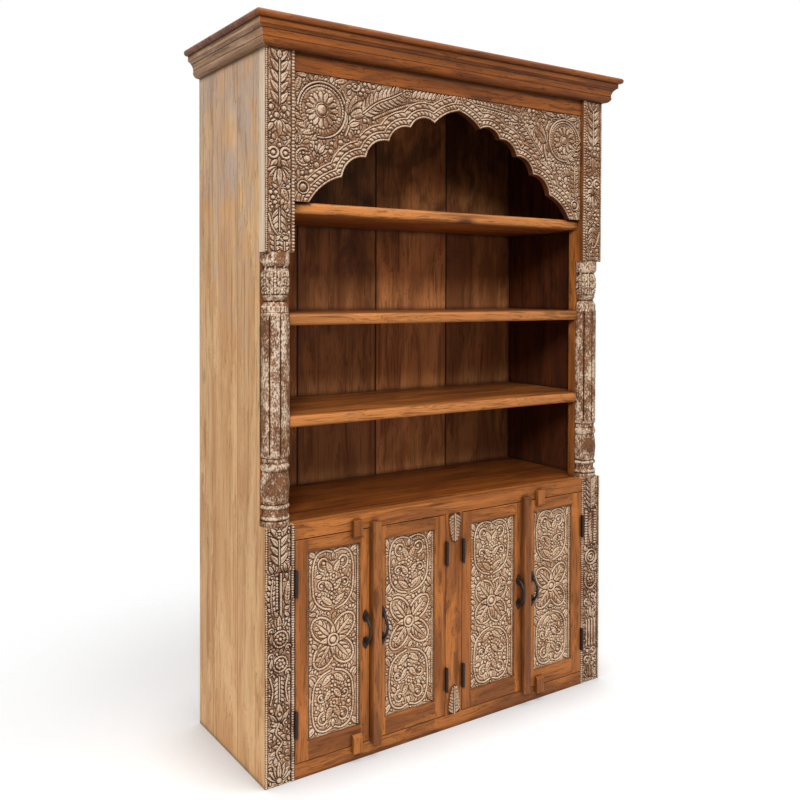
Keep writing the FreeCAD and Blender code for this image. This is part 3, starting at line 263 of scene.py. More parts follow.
def whitewashed(name, paint, bare, recess, chipped=1.6, stretch=1.0):
    """Carved wood that was limewashed and rubbed back: chalky paint, thick on what stands proud
    and thin beside it, brown wood on worn places, and dark dirt and painted shade in the cuts.
    The mesh says how much paint and how much depth each place has. Paint is its thin and its
    thick colour, bare the two colours of the wood under it, and recess the colour of the dirt
    and painted shade. Chipped is how much the chips break the paint up, and stretch draws them
    out along the grain."""
    made, tree, shader = new_material(name)
    place = add(tree, "TexCoord").outputs["Object"]
    left, depth = (add(tree, "Attribute", attribute_name=key).outputs["Fac"]
                   for key in ("paint", "depth"))
    patterns = []
    for (size, detail), drawn_out in ((CHIPS, stretch), (CLOUDS, 1.0)):
        scale = by_axis(Z, 1 / (size * MM), 1 / (size * drawn_out * MM))
        drawn = add(tree, "VectorMath", [place, scale], operation="MULTIPLY")
        patterns.append(add(tree, "TexNoise", {
            "Vector": drawn, "Scale": 1.0, "Detail": detail,
            "Roughness": LIME_PATTERN_ROUGHNESS}))
    chips, clouds = patterns
    centred = add(tree, "Math", [chips, 0.5], operation="SUBTRACT")
    cover = add(tree, "Math", [centred, chipped, left], operation="MULTIPLY_ADD")
    tone = layered(tree, bare[0], [(clouds, CLOUDS_SHOW, 1, bare[1]),
                                   (cover, THIN_PAINT_SHOWS, 1, paint[0]),
                                   (cover, THICK_PAINT_SHOWS, 1, paint[1]),
                                   (chips, PITS_SHOW, 1, recess), (depth, CUTS_SHOW, 1, recess)])
    feed(shader, {
        "Base Color": tone, "IOR": WOOD_IOR, "Specular IOR Level": LIME_SHINE,
        "Roughness": add(tree, "MapRange", [cover, 0, 1, *LIME_ROUGHNESS]),
        "Normal": add(tree, "Bump", {"Height": chips, "Strength": CHIP_STRENGTH,
                                     "Distance": CHIP_DEPTH_MM * MM})})
    return made


# Hammer dents and rust on the iron: size in millimetres and detail
DENTS = (5, 3.0)
RUST = (4, 5.0)
RUST_SHOWS = (0.52, 0.72, 0.8)
DENT_RANGE = (0.3, 0.7)
IRON_ROUGHNESS = (0.38, 0.6)
DENT_DEPTH_MM = 0.5
DENT_STRENGTH = 0.5
IRON_METALLIC = 0.7
IRON_COLOUR = "#2E2622"
RUST_COLOUR = "#4A2F20"


def forged_iron(name):
    """Iron forged by hand, blackened with oil and a little rusted: dull, dented, brown-black."""
    made, tree, shader = new_material(name)
    place = add(tree, "TexCoord").outputs["Object"]
    dents, rust = (add(tree, "TexNoise", {"Vector": place, "Scale": 1 / (size * MM),
                                          "Detail": detail}) for size, detail in (DENTS, RUST))
    feed(shader, {
        "Base Color": layered(tree, IRON_COLOUR, [(rust, RUST_SHOWS, 1, RUST_COLOUR)]),
        "Roughness": add(tree, "MapRange", [dents, *DENT_RANGE, *IRON_ROUGHNESS]),
        "Metallic": IRON_METALLIC,
        "Normal": add(tree, "Bump", {"Height": dents, "Strength": DENT_STRENGTH,
                                     "Distance": DENT_DEPTH_MM * MM})})
    return made


# Board joints in metres, worked out from the frame and the boards' widths
SIDE_BOARD_WIDTHS = (0.101, 0.154)
BACK_BOARDS = 4
SHELF_PLANK = 0.128
# Painted shadow lines where the cornice's moulding steps lie at these shares of its height, and
# the grain jumps there too
MOULDING_LINE_SHARES = (0.34, 0.64)
side_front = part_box("left_side")[0].y
side_seams = [side_front + SIDE_BOARD_WIDTHS[0], side_front + sum(SIDE_BOARD_WIDTHS)]
shelf_seams = [side_front + SHELF_PLANK * i for i in range(3)]
back_low, back_high = (corner.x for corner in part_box("back_boards"))
back_seams = [back_low + (back_high - back_low) * i / BACK_BOARDS for i in range(1, BACK_BOARDS)]
foot, head = (corner.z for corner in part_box("cornice_front"))
cornice_shadow_lines = [foot + share * (head - foot) for share in MOULDING_LINE_SHARES]
SIDE_SEAM_MM = 1.0
MOULDING_SHADOW_LINE_MM = 1.3
BACK_SEAM_MM = 4.5
BACK_UNEVEN = (0.72, 1.25)

# Light, middle and dark colours of the mango wood, by where it is used
HONEY = ("#E4B681", "#CD9863", "#8F5F34")
FRONT_WOOD = ("#B36C32", "#814A21", "#43220E")
CORNICE_WOOD = ("#95531F", "#733D18", "#3A1B0B")
RETURN_WOOD = ("#BF9878", "#906845", "#4E2E18")
BATTEN_WOOD = ("#9C602F", "#704020", "#3E210E")
INNER_WOOD = ("#CB8752", "#9C6139", "#4E2915")
SIDE_INNER_WOOD_AND_SHADE = ("#5C2E14", "#43200F", "#1F0C05")
EDGE_HIGHLIGHT_WOOD = ("#E2CDB6", "#D0B698", "#9A7A58")
STAIN = "#B6A598"
PAINTED_SHADE_UNDER_ARCH = "#24130A"

# Sides, thinly waxed and bleached: honey yellow and dry, greyed by old damp towards the top
side_wood = wood("mango_wood_waxed_pale_upright", Z, HONEY, 0.5, 0.8, side_seams, Y,
                 SIDE_SEAM_MM, STAIN)
# Front frame and doors, waxed over stain: warm red-brown with a soft sheen and dark streaks
stile_wood = wood("mango_wood_waxed_front_upright", Z, FRONT_WOOD, 0.42)
rail_wood = wood("mango_wood_waxed_front_level", X, FRONT_WOOD, 0.42)
# Shelves: the same, in glued planks, with a front edge that hands and light have bleached
shelf_wood = wood("mango_wood_waxed_shelf_level", X, FRONT_WOOD, 0.42, 1.0, shelf_seams,
                  sunned=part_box("top_shelf")[0].y)
# Cornice and cap, waxed over a darker stain: deep brown, with painted shadow lines where the
# moulding steps
cornice_wood = wood("mango_wood_waxed_dark_level", X, CORNICE_WOOD, 0.4, 1.0, cornice_shadow_lines, Z,
                    MOULDING_SHADOW_LINE_MM)
# Cornice at the sides, worn through the wax: greyed and dull
return_wood = wood("mango_wood_worn_return", Y, RETURN_WOOD, 0.5, 1.0, cornice_shadow_lines, Z,
                   MOULDING_SHADOW_LINE_MM)
# Counter, polished by what stands on it: as dark as the cornice and shinier
counter_wood = wood("mango_wood_waxed_counter_level", X, CORNICE_WOOD, 0.36, 1.0, shelf_seams,
                    sunned=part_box("counter_board")[0].y)
# Battens on the meeting doors, darkened by hands: a shade deeper than the doors
batten_wood = wood("mango_wood_waxed_batten_upright", Z, BATTEN_WOOD, 0.42)
# Back, stained and never waxed: dull red-brown boards of uneven tone, with painted shade in
# blots that darkens them towards the top, under the arch
inner_wood = wood("mango_wood_stained_inner_upright", Z, INNER_WOOD, 0.6, 0.75, back_seams, X,
                  BACK_SEAM_MM, PAINTED_SHADE_UNDER_ARCH, uneven=BACK_UNEVEN)
# Inner faces of the sides and edges of the arch: dark stain with painted shade in it, nearly
# black, and dull
inner_side_wood_and_shade = wood("mango_wood_stained_side_painted_shade", Z, SIDE_INNER_WOOD_AND_SHADE, 0.6, 1.0,
                       side_seams)
# Boards inside the cupboard: the back's dull stain without its painted shade
inner_shelf_wood = wood("mango_wood_stained_inner_level", X, INNER_WOOD, 0.6, 1.0, shelf_seams)
# Outer edges of the upper boards, not carved: pale, with a painted highlight where light catches
# the edge, and a trace of grain
edge_highlight_wood = wood("mango_wood_edge_painted_highlight", Z, EDGE_HIGHLIGHT_WOOD, 0.6, 0.4)
# Door panels, carved and limed: pinkish cream on brown, the least dark in the cuts of the
# carvings
panel_lime = whitewashed("mango_wood_panel_limewashed", ("#A88669", "#D3B79A"),
                         ("#7E5431", "#946843"), "#3C2415")
# Arch, upper boards and mullion leaves: the same, older, with browner paint, and deeper dirt
# and painted shade in the cuts
lime = whitewashed("mango_wood_carved_limewashed", ("#8B6C52", "#C1A78E"),
                   ("#6B4427", "#815737"), "#2B180D")
# Lower boards: the darkest wood, and the darkest dirt and painted shade in the cuts, under the
# same paint
dark_lime = whitewashed("mango_wood_carved_limewashed_dark", ("#8B6B51", "#C6AB92"),
                        ("#5A341C", "#71492C"), "#211109")
# Turned columns: paint broken into flakes that run with the grain, dark wood between them
column_lime = whitewashed("mango_wood_turned_limewashed", ("#94745A", "#CDB7A0"),
                          ("#5A3820", "#744A2B"), "#26150B", 3.0, 1.8)
iron = forged_iron("iron_forged_blackened")

# Each finish with the endings of the names of its pieces
FINISHES = (
    (side_wood, ("_side",)), (stile_wood, ("_stile", "_stiles", "mullion", "_stop_blocks")),
    (cornice_wood, ("cornice_front", "cap_board", "header_rail")),
    (return_wood, ("cornice_left", "cornice_right")),
    (shelf_wood, ("top_shelf", "middle_shelf", "low_shelf")),
    (counter_wood, ("counter_board",)), (batten_wood, ("_batten",)),
    (rail_wood, ("counter_rail", "bottom_rail", "_rails")),
    (inner_shelf_wood, ("bottom_board", "cupboard_shelf")), (inner_wood, ("back_boards",)),
    (iron, ("_pull", "_hinge_leaves", "_hinge_screws", "_fixings")),
)
for finish, endings in FINISHES:
    for name, node in nodes.items():
        if name.endswith(endings):
            node.data.materials.clear()
            node.data.materials.append(finish)


def refinish(mesh, finish, chosen):
    """Give the chosen faces another finish."""
    mesh.materials.append(finish)
    for face in mesh.polygons:
        if chosen(face):
            face.material_index = len(mesh.materials) - 1


# The outer faces of the stiles are finished as the side panels are, and the inner faces of the
# side panels are stained dark, with painted shade in that colour. A face looks to a side when its
# normal reaches this far that way, and it is an inner one when it lies within this many metres of
# the opening
FACING = 0.5
INNER_REACH = 0.002
for side, hand in (("left", -1), ("right", 1)):
    refinish(nodes[f"{side}_stile"].data, side_wood, lambda face: face.normal.x * hand > FACING)
    inner = min(abs(corner.x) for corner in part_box(f"{side}_side")) + INNER_REACH
    refinish(nodes[f"{side}_side"].data, inner_side_wood_and_shade, lambda face: abs(face.center.x) < inner)


# Carving tools. A carving is a field of heights in millimetres over points (u, v) of a face

# In millimetres: the grid that is carved, the cut round a motif, and a leaf's vein
GRID_MM = 1.3
GAP = 2.0
VEIN_WIDTH = 1.3
# Depths as shares of a leaf's height, and the paint that plain edges have
VEIN_DEPTH = 0.45
RIB_DEPTH = 0.45
EDGE_TONE = 0.2
LUMP_TABLE = 64

# How much lime is left: on average, and more of it on what stands proud or tall, less where
# rubbing reaches. Slopes that face up get more too, which is painted light from above
LIME_LEFT = 0.42
LIME_ON_PROUD = 1.2
LIME_ON_TALL = 0.25
LIME_AS_TOP_LIGHT = 1.6
LIME_RUBBED = 0.25
# A carving's tallness is 0 to 1, and how proud a place stands is its tallness less that of the
# places round it. How far proud and the painted light on upward slopes count, the middle
# tallness, and where rubbing starts
PROUD_LIMIT = 0.3
TOP_LIGHT_LIMIT = 0.15
MIDDLE_TALL = 0.4
RUBBED_FROM = 0.93
# Sizes of the worn patches, and what the narrow ones count
WEAR_PATCHES = (34, 11)
NARROW_WEAR = 0.7
# Dirt and painted shade fill the cuts below the first of these, and there is none above the
# second
CUT_DIRT_AND_SHADE_PROUD = (-0.3, -0.02)
CUT_DIRT_AND_SHADE_TALL = (0.05, 0.36)
# The filling: how many of its places get a berry, and how its leaves drift round: by how many
# degrees, over how many millimetres, and how many degrees are left to chance
BERRY_SHARE = 0.2
LEAF_DRIFT = (400, 40, 35)
# How much of its cut and of its smoothed shape a carving keeps, and the tool marks' sizes
KEPT_SHAPE, SMOOTHED_SHAPE = 0.55, 0.45
TOOL_MARKS = (3.1, 11)


def soft_step(low, high, value):
    share = np.clip((value - low) / (high - low), 0, 1)
    return share * share * (3 - 2 * share)


def lumps(u, v, size, seed):
    """Smooth noise from -1 to 1 whose lumps are about this many millimetres wide."""
    table = np.random.default_rng(seed).uniform(-1, 1, (LUMP_TABLE, LUMP_TABLE))
    i, j = np.floor(u / size).astype(int), np.floor(v / size).astype(int)
    a, b = soft_step(0, 1, u / size - i), soft_step(0, 1, v / size - j)
    low, high = (table[i % LUMP_TABLE, k % LUMP_TABLE] * (1 - a)
                 + table[(i + 1) % LUMP_TABLE, k % LUMP_TABLE] * a for k in (j, j + 1))
    return low * (1 - b) + high * b


def blurred(field, cells):
    """The mean of a field over a square this many cells to each side."""
    for axis in (0, 1):
        wide = [(cells + 1, cells) if a == axis else (0, 0) for a in (0, 1)]
        total = np.cumsum(np.pad(field, wide, mode="edge"), axis=axis)
        count = field.shape[axis]
        span = 2 * cells + 1
        field = (np.take(total, np.arange(span, span + count), axis)
                 - np.take(total, np.arange(count), axis)) / span
    return field


def polar(u, v, radius, degrees):
    """The place this far from (u, v) in this direction."""
    turn = math.radians(degrees)
    return u + radius * math.cos(turn), v + radius * math.sin(turn)


def arc(u, v, radius, start, end, squash=1.0, turn=0.0):
    """Points of an arc, in degrees. Squash flattens it, and turn then turns it."""
    angle = np.radians(np.linspace(start, end, max(4, int(abs(end - start) / 9))))
    a, b = radius * np.cos(angle), radius * squash * np.sin(angle)
    turn = math.radians(turn)
    return np.stack([u + a * math.cos(turn) - b * math.sin(turn),
                     v + a * math.sin(turn) + b * math.cos(turn)], 1)


def spiral(u, v, outer, inner, start, turns):
    share = np.linspace(0, 1, max(8, int(abs(turns) * 36)))
    radius = outer + (inner - outer) * share
    angle = np.radians(start) + 2 * math.pi * turns * share
    return np.stack([u + radius * np.cos(angle), v + radius * np.sin(angle)], 1)


def bend(*points):
    """A smooth path through a few given points."""
    points = np.array(points, float)
    ends = np.concatenate([[2 * points[0] - points[1]], points, [2 * points[-1] - points[-2]]])
    path = []
    for a, b, c, d in zip(ends, ends[1:], ends[2:], ends[3:]):
        for t in np.linspace(0, 1, 8, endpoint=False):
            path.append(0.5 * (2 * b + (c - a) * t + (2 * a - 5 * b + 4 * c - d) * t ** 2
                               + (3 * b - a - 3 * c + d) * t ** 3))
    return np.array(path + [points[-1]])


class Carving:
    """Heights of a carved face above its deepest cuts. The ground between the motifs lies a
    little higher than those, and each motif first cuts its own narrow outline down to them."""

    def __init__(self, u, v, seed, ground=0.0):
        self.u, self.v, self.seed = u, v, seed
        self.height = np.full(u.shape, ground)
        self.cut = np.zeros(u.shape, bool)
        self.random = np.random.default_rng(seed)

    def near(self, u, v, reach):
        return np.nonzero((abs(self.u - u) < reach) & (abs(self.v - v) < reach))

    def sink(self, at, where):
        """Cut a motif's outline."""
        self.height[at[0][where], at[1][where]] = 0
        self.cut[at[0][where], at[1][where]] = True

    def lift(self, at, height):
        self.height[at] = np.maximum(self.height[at], height)

    def bead(self, u, v, radius, height, gap=GAP):
        at = self.near(u, v, radius + gap)
        far = np.hypot(self.u[at] - u, self.v[at] - v)
        self.sink(at, far < radius + gap)
        self.lift(at, height * np.sqrt(np.clip(1 - (far / radius) ** 2, 0, 1)) ** 0.8)

    def leaf(self, u, v, angle, length, width, height, gap=GAP, vein=VEIN_DEPTH, full=0.75,
             ribs=0):
        """A leaf or petal from its stalk at (u, v), with a cut vein and, if asked, side ribs."""
        at = self.near(u, v, length + gap)
        turn = math.radians(angle)
        du, dv = self.u[at] - u, self.v[at] - v
        along = du * math.cos(turn) + dv * math.sin(turn)
        across = dv * math.cos(turn) - du * math.sin(turn)

        def half_width(margin):
            share = np.clip((along + margin) / (length + 2 * margin), 0, 1)
            return (width / 2 + margin) * np.sin(math.pi * share ** full)

        self.sink(at, abs(across) < half_width(gap))
        half = half_width(0) + 1e-6
        side = np.clip(abs(across) / half, 0, 1)
        # It falls to half its height at the edge, and turns down sharply there
        crown = height * (1 - 0.5 * side ** 2) * np.sqrt(1 - side ** 8)
        crown -= vein * height * np.exp(-(across / VEIN_WIDTH) ** 2) * (side < 1)
        if ribs:
            wave = 0.5 + 0.5 * np.cos(2 * math.pi * (along - abs(across)) / ribs)
            crown *= 1 - RIB_DEPTH * wave ** 2
        self.lift(at, np.where(abs(across) < half, crown, 0))

    def along(self, path, reach):
        """The points within reach of a path, how far each is from it, and how far along it."""
        path = np.asarray(path, float)
        low, high = path.min(0) - reach, path.max(0) + reach
        at = np.nonzero((self.u > low[0]) & (self.u < high[0])
                        & (self.v > low[1]) & (self.v < high[1]))
        u, v = self.u[at], self.v[at]
        far, station = np.full(u.shape, np.inf), np.zeros(u.shape)
        walked = 0.0
        for (u0, v0), (u1, v1) in zip(path, path[1:]):
            du, dv = u1 - u0, v1 - v0
            length = math.hypot(du, dv) or 1e-9
            share = np.clip(((u - u0) * du + (v - v0) * dv) / length ** 2, 0, 1)
            here = np.hypot(u - u0 - share * du, v - v0 - share * dv)
            nearer = here < far
            far[nearer] = here[nearer]
            station[nearer] = walked + share[nearer] * length
            walked += length
        return at, far, station

    def ridge(self, path, width, height, pitch=0.0, gap=GAP, depth=0.5):
        """A rounded moulding along a path. Pitch is the spacing of the notches across it."""
        at, far, station = self.along(path, width / 2 + gap)
        self.sink(at, far < width / 2 + gap)
        crown = height * np.clip(1 - (2 * far / width) ** 2, 0, 1) ** 0.4
        if pitch:
            crown *= 1 - depth * (0.5 + 0.5 * np.cos(2 * math.pi * station / pitch)) ** 2
        self.lift(at, crown)

    def flower(self, u, v, radius, petals, height, boss=0.3, turn=0.0):
        """Petals round a domed boss."""
        start = boss * radius * 0.8
        for i in range(petals):
            angle = turn + 360 * i / petals
            self.leaf(*polar(u, v, start, angle), angle, radius - start,
                      2 * math.pi * radius * 0.72 / petals, height, gap=1.4, full=1.35)
        self.bead(u, v, boss * radius, height * 1.1)

    def fan(self, u, v, angle, spread, count, length, width, height):
        """Leaves spread from one point, the middle one last and on top."""
        offsets = [spread * (2 * i / (count - 1) - 1) for i in range(count)]
        for offset in sorted(offsets, key=abs, reverse=True):
            self.leaf(u, v, angle + offset, length * (1 - 0.2 * abs(offset) / spread), width,
                      height)

    def sprig(self, path, pitch, length, width, height, lean=50, stem=2.6):
        """A stem with leaves in pairs along it."""
        path = np.asarray(path, float)
        stations = np.concatenate([[0], np.cumsum(np.hypot(*np.diff(path, axis=0).T))])
        for station in np.arange(pitch * 0.1, stations[-1] - length * 0.25, pitch):
            (u, u1), (v, v1) = (np.interp((station, station + 1), stations, path[:, i])
                                for i in (0, 1))
            way = math.degrees(math.atan2(v1 - v, u1 - u))
            for side in (-1, 1):
                self.leaf(u, v, way + side * lean, length, width, height)
        self.ridge(path, stem, height)

    def curl(self, u, v, radius, start, turns, height, width=3.6):
        """A rolled scroll end with a bead in its eye."""
        self.ridge(spiral(u, v, radius, radius * 0.4, start, turns), width, height)
        self.bead(u, v, radius * 0.42, height)

    def scroll(self, u, v, size, angle, way, height):
        """A rolled stem with leaves along its outside. Way is 1 or -1 for how it rolls."""
        path = spiral(u, v, size, size * 0.3, angle, way * 1.15)
        for share in (0.06, 0.2, 0.34):
            at = path[int(share * len(path))]
            out = math.degrees(math.atan2(at[1] - v, at[0] - u))
            self.leaf(*at, out - way * 35, size, size * 0.55, height)
        self.ridge(path, size * 0.26, height)
        self.bead(u, v, size * 0.26, height)

    def fill(self, inside, spacing, height):
        """Crowd the ground that is still bare with small leaves and berries that lap."""
        inside = inside & (blurred((~self.cut).astype(float), 1) > 0.8)
        low = self.u[inside].min(), self.v[inside].min()
        high = self.u[inside].max(), self.v[inside].max()
        spots = [(u + row % 2 * spacing / 2, v)
                 for row, v in enumerate(np.arange(low[1], high[1], spacing * 0.8))
                 for u in np.arange(low[0], high[0], spacing)]
        for i in self.random.permutation(len(spots)):
            u, v = spots[i] + self.random.uniform(-0.2, 0.2, 2) * spacing
            at = self.near(u, v, spacing * 0.33)
            if not len(at[0]) or not inside[at].all():
                continue
            if self.random.random() < BERRY_SHARE:
                self.bead(u, v, spacing * 0.4, height)
                continue
            # The leaves drift round together, as if combed
            swing, size, chance = LEAF_DRIFT
            angle = swing * lumps(np.array(u), np.array(v), size, self.seed) \
                + self.random.uniform(-chance, chance)
            length = spacing * 1.5
            self.leaf(*polar(u, v, -length / 2, angle), angle, length, spacing * 0.8,
                      height * self.random.uniform(0.75, 1))

    def finish(self, inside, spacings, leaf_height, marks, relief, wear):
        """Fill the ground, soften the edges, leave the unevenness of hand work and keep within
        the board. Gives how much paint is left at each place, and how far out of the cuts it
        is, both 0 to 1."""
        for spacing in spacings:
            self.fill(inside, spacing, leaf_height)
        small, large = (lumps(self.u, self.v, size, self.seed + i)
                        for i, size in enumerate(TOOL_MARKS))
        self.height = KEPT_SHAPE * self.height + SMOOTHED_SHAPE * blurred(self.height, 1)
        self.height = np.clip(self.height + marks * (small + large), 0, relief)
        tall = self.height / self.height.max()
        proud = tall - blurred(tall, 3)
        # Painted light: slopes that face up are made paler, as if lit from above
        painted_top_light = -np.gradient(tall, axis=0) * np.sign(self.v[-1, 0] - self.v[0, 0])
        broad, narrow = (lumps(self.u, self.v, size, self.seed + 2 + i)
                         for i, size in enumerate(WEAR_PATCHES))
        paint = LIME_LEFT + LIME_ON_PROUD * np.clip(proud, -PROUD_LIMIT, PROUD_LIMIT) \
            + LIME_ON_TALL * (tall - MIDDLE_TALL)
        paint += LIME_AS_TOP_LIGHT * np.clip(painted_top_light, -TOP_LIGHT_LIMIT, TOP_LIGHT_LIMIT) \
            - wear * (broad + NARROW_WEAR * narrow)
        paint -= LIME_RUBBED * soft_step(RUBBED_FROM, 1.0, tall)
        # Dirt and painted shade darken the cuts
        depth = soft_step(*CUT_DIRT_AND_SHADE_PROUD, proud) * soft_step(*CUT_DIRT_AND_SHADE_TALL, tall)
        return {"paint": paint, "depth": depth}


def mesh_object(name, points, faces, smooth, attributes, materials):
    """A mesh from points in millimetres. Smooth counts the first faces, which are the carved
    ones; the faces after them are flat and take the last material."""
    mesh = bpy.data.meshes.new(name)
    mesh.from_pydata((points * MM).tolist(), [], faces)
    carved = np.arange(len(faces)) < smooth
    mesh.polygons.foreach_set("use_smooth", carved)
    for key, values in attributes.items():
        layer = mesh.attributes.new(key, "FLOAT", "POINT")
        layer.data.foreach_set("value", np.asarray(values, np.float32))
    for material in materials:
        mesh.materials.append(material)
    plain = np.where(carved, 0, len(materials) - 1).astype(np.int32)
    mesh.polygons.foreach_set("material_index", plain)
    made = bpy.data.objects.new(name, mesh)
    scene.collection.objects.link(made)
    return made


def carved_board(name, carving, tones, corner, back_y, relief, finishes, cells=None, hand=1,
                 up=1):
    """A closed board: carved front, walls round its edge and a flat back at back_y. Its (0, 0)
    lies at corner, in millimetres, and its highest places lie in the plane there. Hand and up
    are -1 where u or v runs towards smaller x or z. Finishes are for the carving and the rest."""
    u, v, height = (field[::up, ::hand] for field in (carving.u, carving.v, carving.height))
    x, y, z = corner
    front = np.stack([x + hand * u, y + relief - height, z + up * v], -1).reshape(-1, 3)
    rows, columns = u.shape
    index = np.arange(rows * columns).reshape(rows, columns)
    if cells is None:
        cells = np.ones((rows - 1, columns - 1), bool)
    r, c = np.nonzero(cells[::up, ::hand])
    quads = np.stack([index[r, c], index[r, c + 1], index[r + 1, c + 1], index[r + 1, c]], 1)
    # The border is made of the edges that no neighbouring cell walks the other way
    edges = np.concatenate([quads[:, [i, (i + 1) % 4]] for i in range(4)])
    codes = edges[:, 0] * front.shape[0] + edges[:, 1]
    opposite = edges[:, 1] * front.shape[0] + edges[:, 0]
    border = edges[~np.isin(codes, opposite)]
    follows = dict(border.tolist())
    loop = [int(border[0, 0])]
    while follows[loop[-1]] != loop[0]:
        loop.append(follows[loop[-1]])
    used = np.unique(quads)
    renumber = np.full(front.shape[0], -1)
    renumber[used] = np.arange(len(used))
    back = front[loop].copy()
    back[:, Y] = back_y
    faces = renumber[quads].tolist()
    smooth, first, count = len(faces), len(used), len(loop)
    for i, vertex in enumerate(loop):
        following = (i + 1) % count
        faces.append([int(renumber[loop[following]]), int(renumber[vertex]), first + i,
                      first + following])
    faces.append([first + i for i in reversed(range(count))])
    attributes = {key: np.concatenate([values[::up, ::hand].reshape(-1)[used],
                                       np.full(count, EDGE_TONE)])
                  for key, values in tones.items()}
    points = np.concatenate([front[used], back])
    made = mesh_object(name, points, faces, smooth, attributes, finishes)
    mesh = made.data
    ends = np.empty(len(mesh.edges) * 2, int)
    mesh.edges.foreach_get("vertices", ends)
    sharp = mesh.attributes.new("sharp_edge", "BOOLEAN", "EDGE")
    sharp.data.foreach_set("value", np.isin(ends.reshape(-1, 2), renumber[loop]).all(1))
    return made


def grid(width, height):
    """Points of a rectangular face, from 0 to its width and height."""
    return np.meshgrid(*(np.linspace(0, size, int(round(size / GRID_MM)) + 1)
                         for size in (width, height)))


def stand_in(piece, body, node):
    """Let a carved piece move with a body, in place of the plain node."""
    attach(piece, body)
    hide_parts(node)


# The lobed arch. Places (u, v) run from its outer end and its foot

RELIEF = 7.0
GROUND = 2.6
BAND = 19.0
FLUTE_PITCH = 10.0
WIDE_FLUTE_PITCH = 13.0
FLUTE_LEAN = 9.0
SWEEP_SHARES = ((0.25, 0.45), (0.4, 1.0), (0.5, 2.0))
# Across the bands, in band widths: the middle and half the width of each band's rim and of its
# fluted body, and of the bead that closes the second band
RIM_ACROSS = (0.13, 0.145)
BODY_ACROSS = (0.64, 0.31)
BEAD_ACROSS = (2.12, 0.12)
BANDS_END = 2.25
ARCH_WEAR = 0.2
ARCH_LEAVES = (14, 9, 7)


def arch_outline(node, side):
    """The lobed edge of one half as (u, v)."""
    low, high, _, rise = front_of(node)
    points = np.array([vertex.co for vertex in nodes[node].data.vertices]) / MM
    face = points[abs(points[:, Y] - low[Y]) < 0.01]
    u = face[:, X] - low[X] if side > 0 else high[X] - face[:, X]
    v = face[:, Z] - low[Z]
    lobed = (u > 0.01) & (v < rise - 0.01)
    edge = np.unique(np.round(np.stack([u, v], 1)[lobed], 3), axis=0)
    return edge[np.argsort(edge[:, 0])]


def nearest_on(path, u, v):
    """For each point, the nearest place on a path."""
    best, found = np.full(u.shape, np.inf), np.zeros((len(u), 2))
    for (u0, v0), (u1, v1) in zip(path, path[1:]):
        du, dv = u1 - u0, v1 - v0
        share = np.clip(((u - u0) * du + (v - v0) * dv) / (du * du + dv * dv + 1e-12), 0, 1)
        spot = np.stack([u0 + share * du, v0 + share * dv], 1)
        far = np.hypot(u - spot[:, 0], v - spot[:, 1])
        nearer = far < best
        best[nearer], found[nearer] = far[nearer], spot[nearer]
    return found


def rosette(carving, u, v, radius, petals):
    """A large flower in a double ring, with a fringe of scales round its foot."""
    for i in range(6):
        angle = 168 + i * 20
        carving.leaf(*polar(u, v, radius * 0.86, angle), angle - 55, radius * 0.5, 15, 6.0,
                     ribs=6)
    carving.ridge(arc(u, v, radius, -100, 175), 5.0, 6.4)
    carving.ridge(arc(u, v, radius * 0.88, -40, 200), 5.0, 5.6, pitch=7, depth=0.6)
    for i in range(18):
        angle = 200 + i * 8.2
        carving.leaf(*polar(u, v, radius * 0.68, angle), angle, radius * 0.26, 9.0, 5.2,
                     gap=1.2)
    for i in range(petals):
        angle = 360 * i / petals
        carving.leaf(*polar(u, v, radius * 0.2, angle), angle, radius * 0.48, radius * 0.2, 6.2,
                     gap=1.6, full=1.9, vein=0.25)
        carving.bead(*polar(u, v, radius * 0.64, angle + 180 / petals), 4.0, 5.4, gap=1.2)
    carving.ridge(arc(u, v, radius * 0.24, 0, 360), 3.0, 6.2)
    carving.bead(u, v, radius * 0.2, 7.0)


def bulge(share, middle, half, power, edge):
    """A moulding's profile: 1 at its middle and 0 at half its width to either side."""
    return np.clip(1 - ((share - middle) / half) ** power, 0, 1) ** edge


def lobed_bands(carving, edge, rise):
    """Two fluted bands that follow the lobes. At the seam they sweep up to a point."""
    sweep = edge[-1] + np.array(SWEEP_SHARES) * (rise - edge[-1, 1])
    at, far, station = carving.along(np.concatenate([edge, sweep]), 2.3 * BAND)
    share = far / BAND
    height = np.zeros(far.shape)
    for first, pitch in ((0.0, FLUTE_PITCH), (1.0, WIDE_FLUTE_PITCH)):
        across = share - first
        turn = 2 * math.pi * (station + FLUTE_LEAN * across) / pitch
        flutes = (0.5 + 0.5 * np.cos(turn)) ** 3
        rim = 5.6 * bulge(across, *RIM_ACROSS, 2, 0.4)
        body = (6.2 - 4.6 * flutes * soft_step(0.3, 0.4, across)) * bulge(
            across, *BODY_ACROSS, 4, 0.5)
        inside = (across > 0) & (across < 1)
        height = np.where(inside, np.maximum(rim, body), height)
    height = np.where(share >= 2, 5.4 * bulge(share, *BEAD_ACROSS, 2, 0.5), height)
    close = share < BANDS_END
    carving.height[at] = np.where(close, height, carving.height[at])
    carving.cut[at] |= close


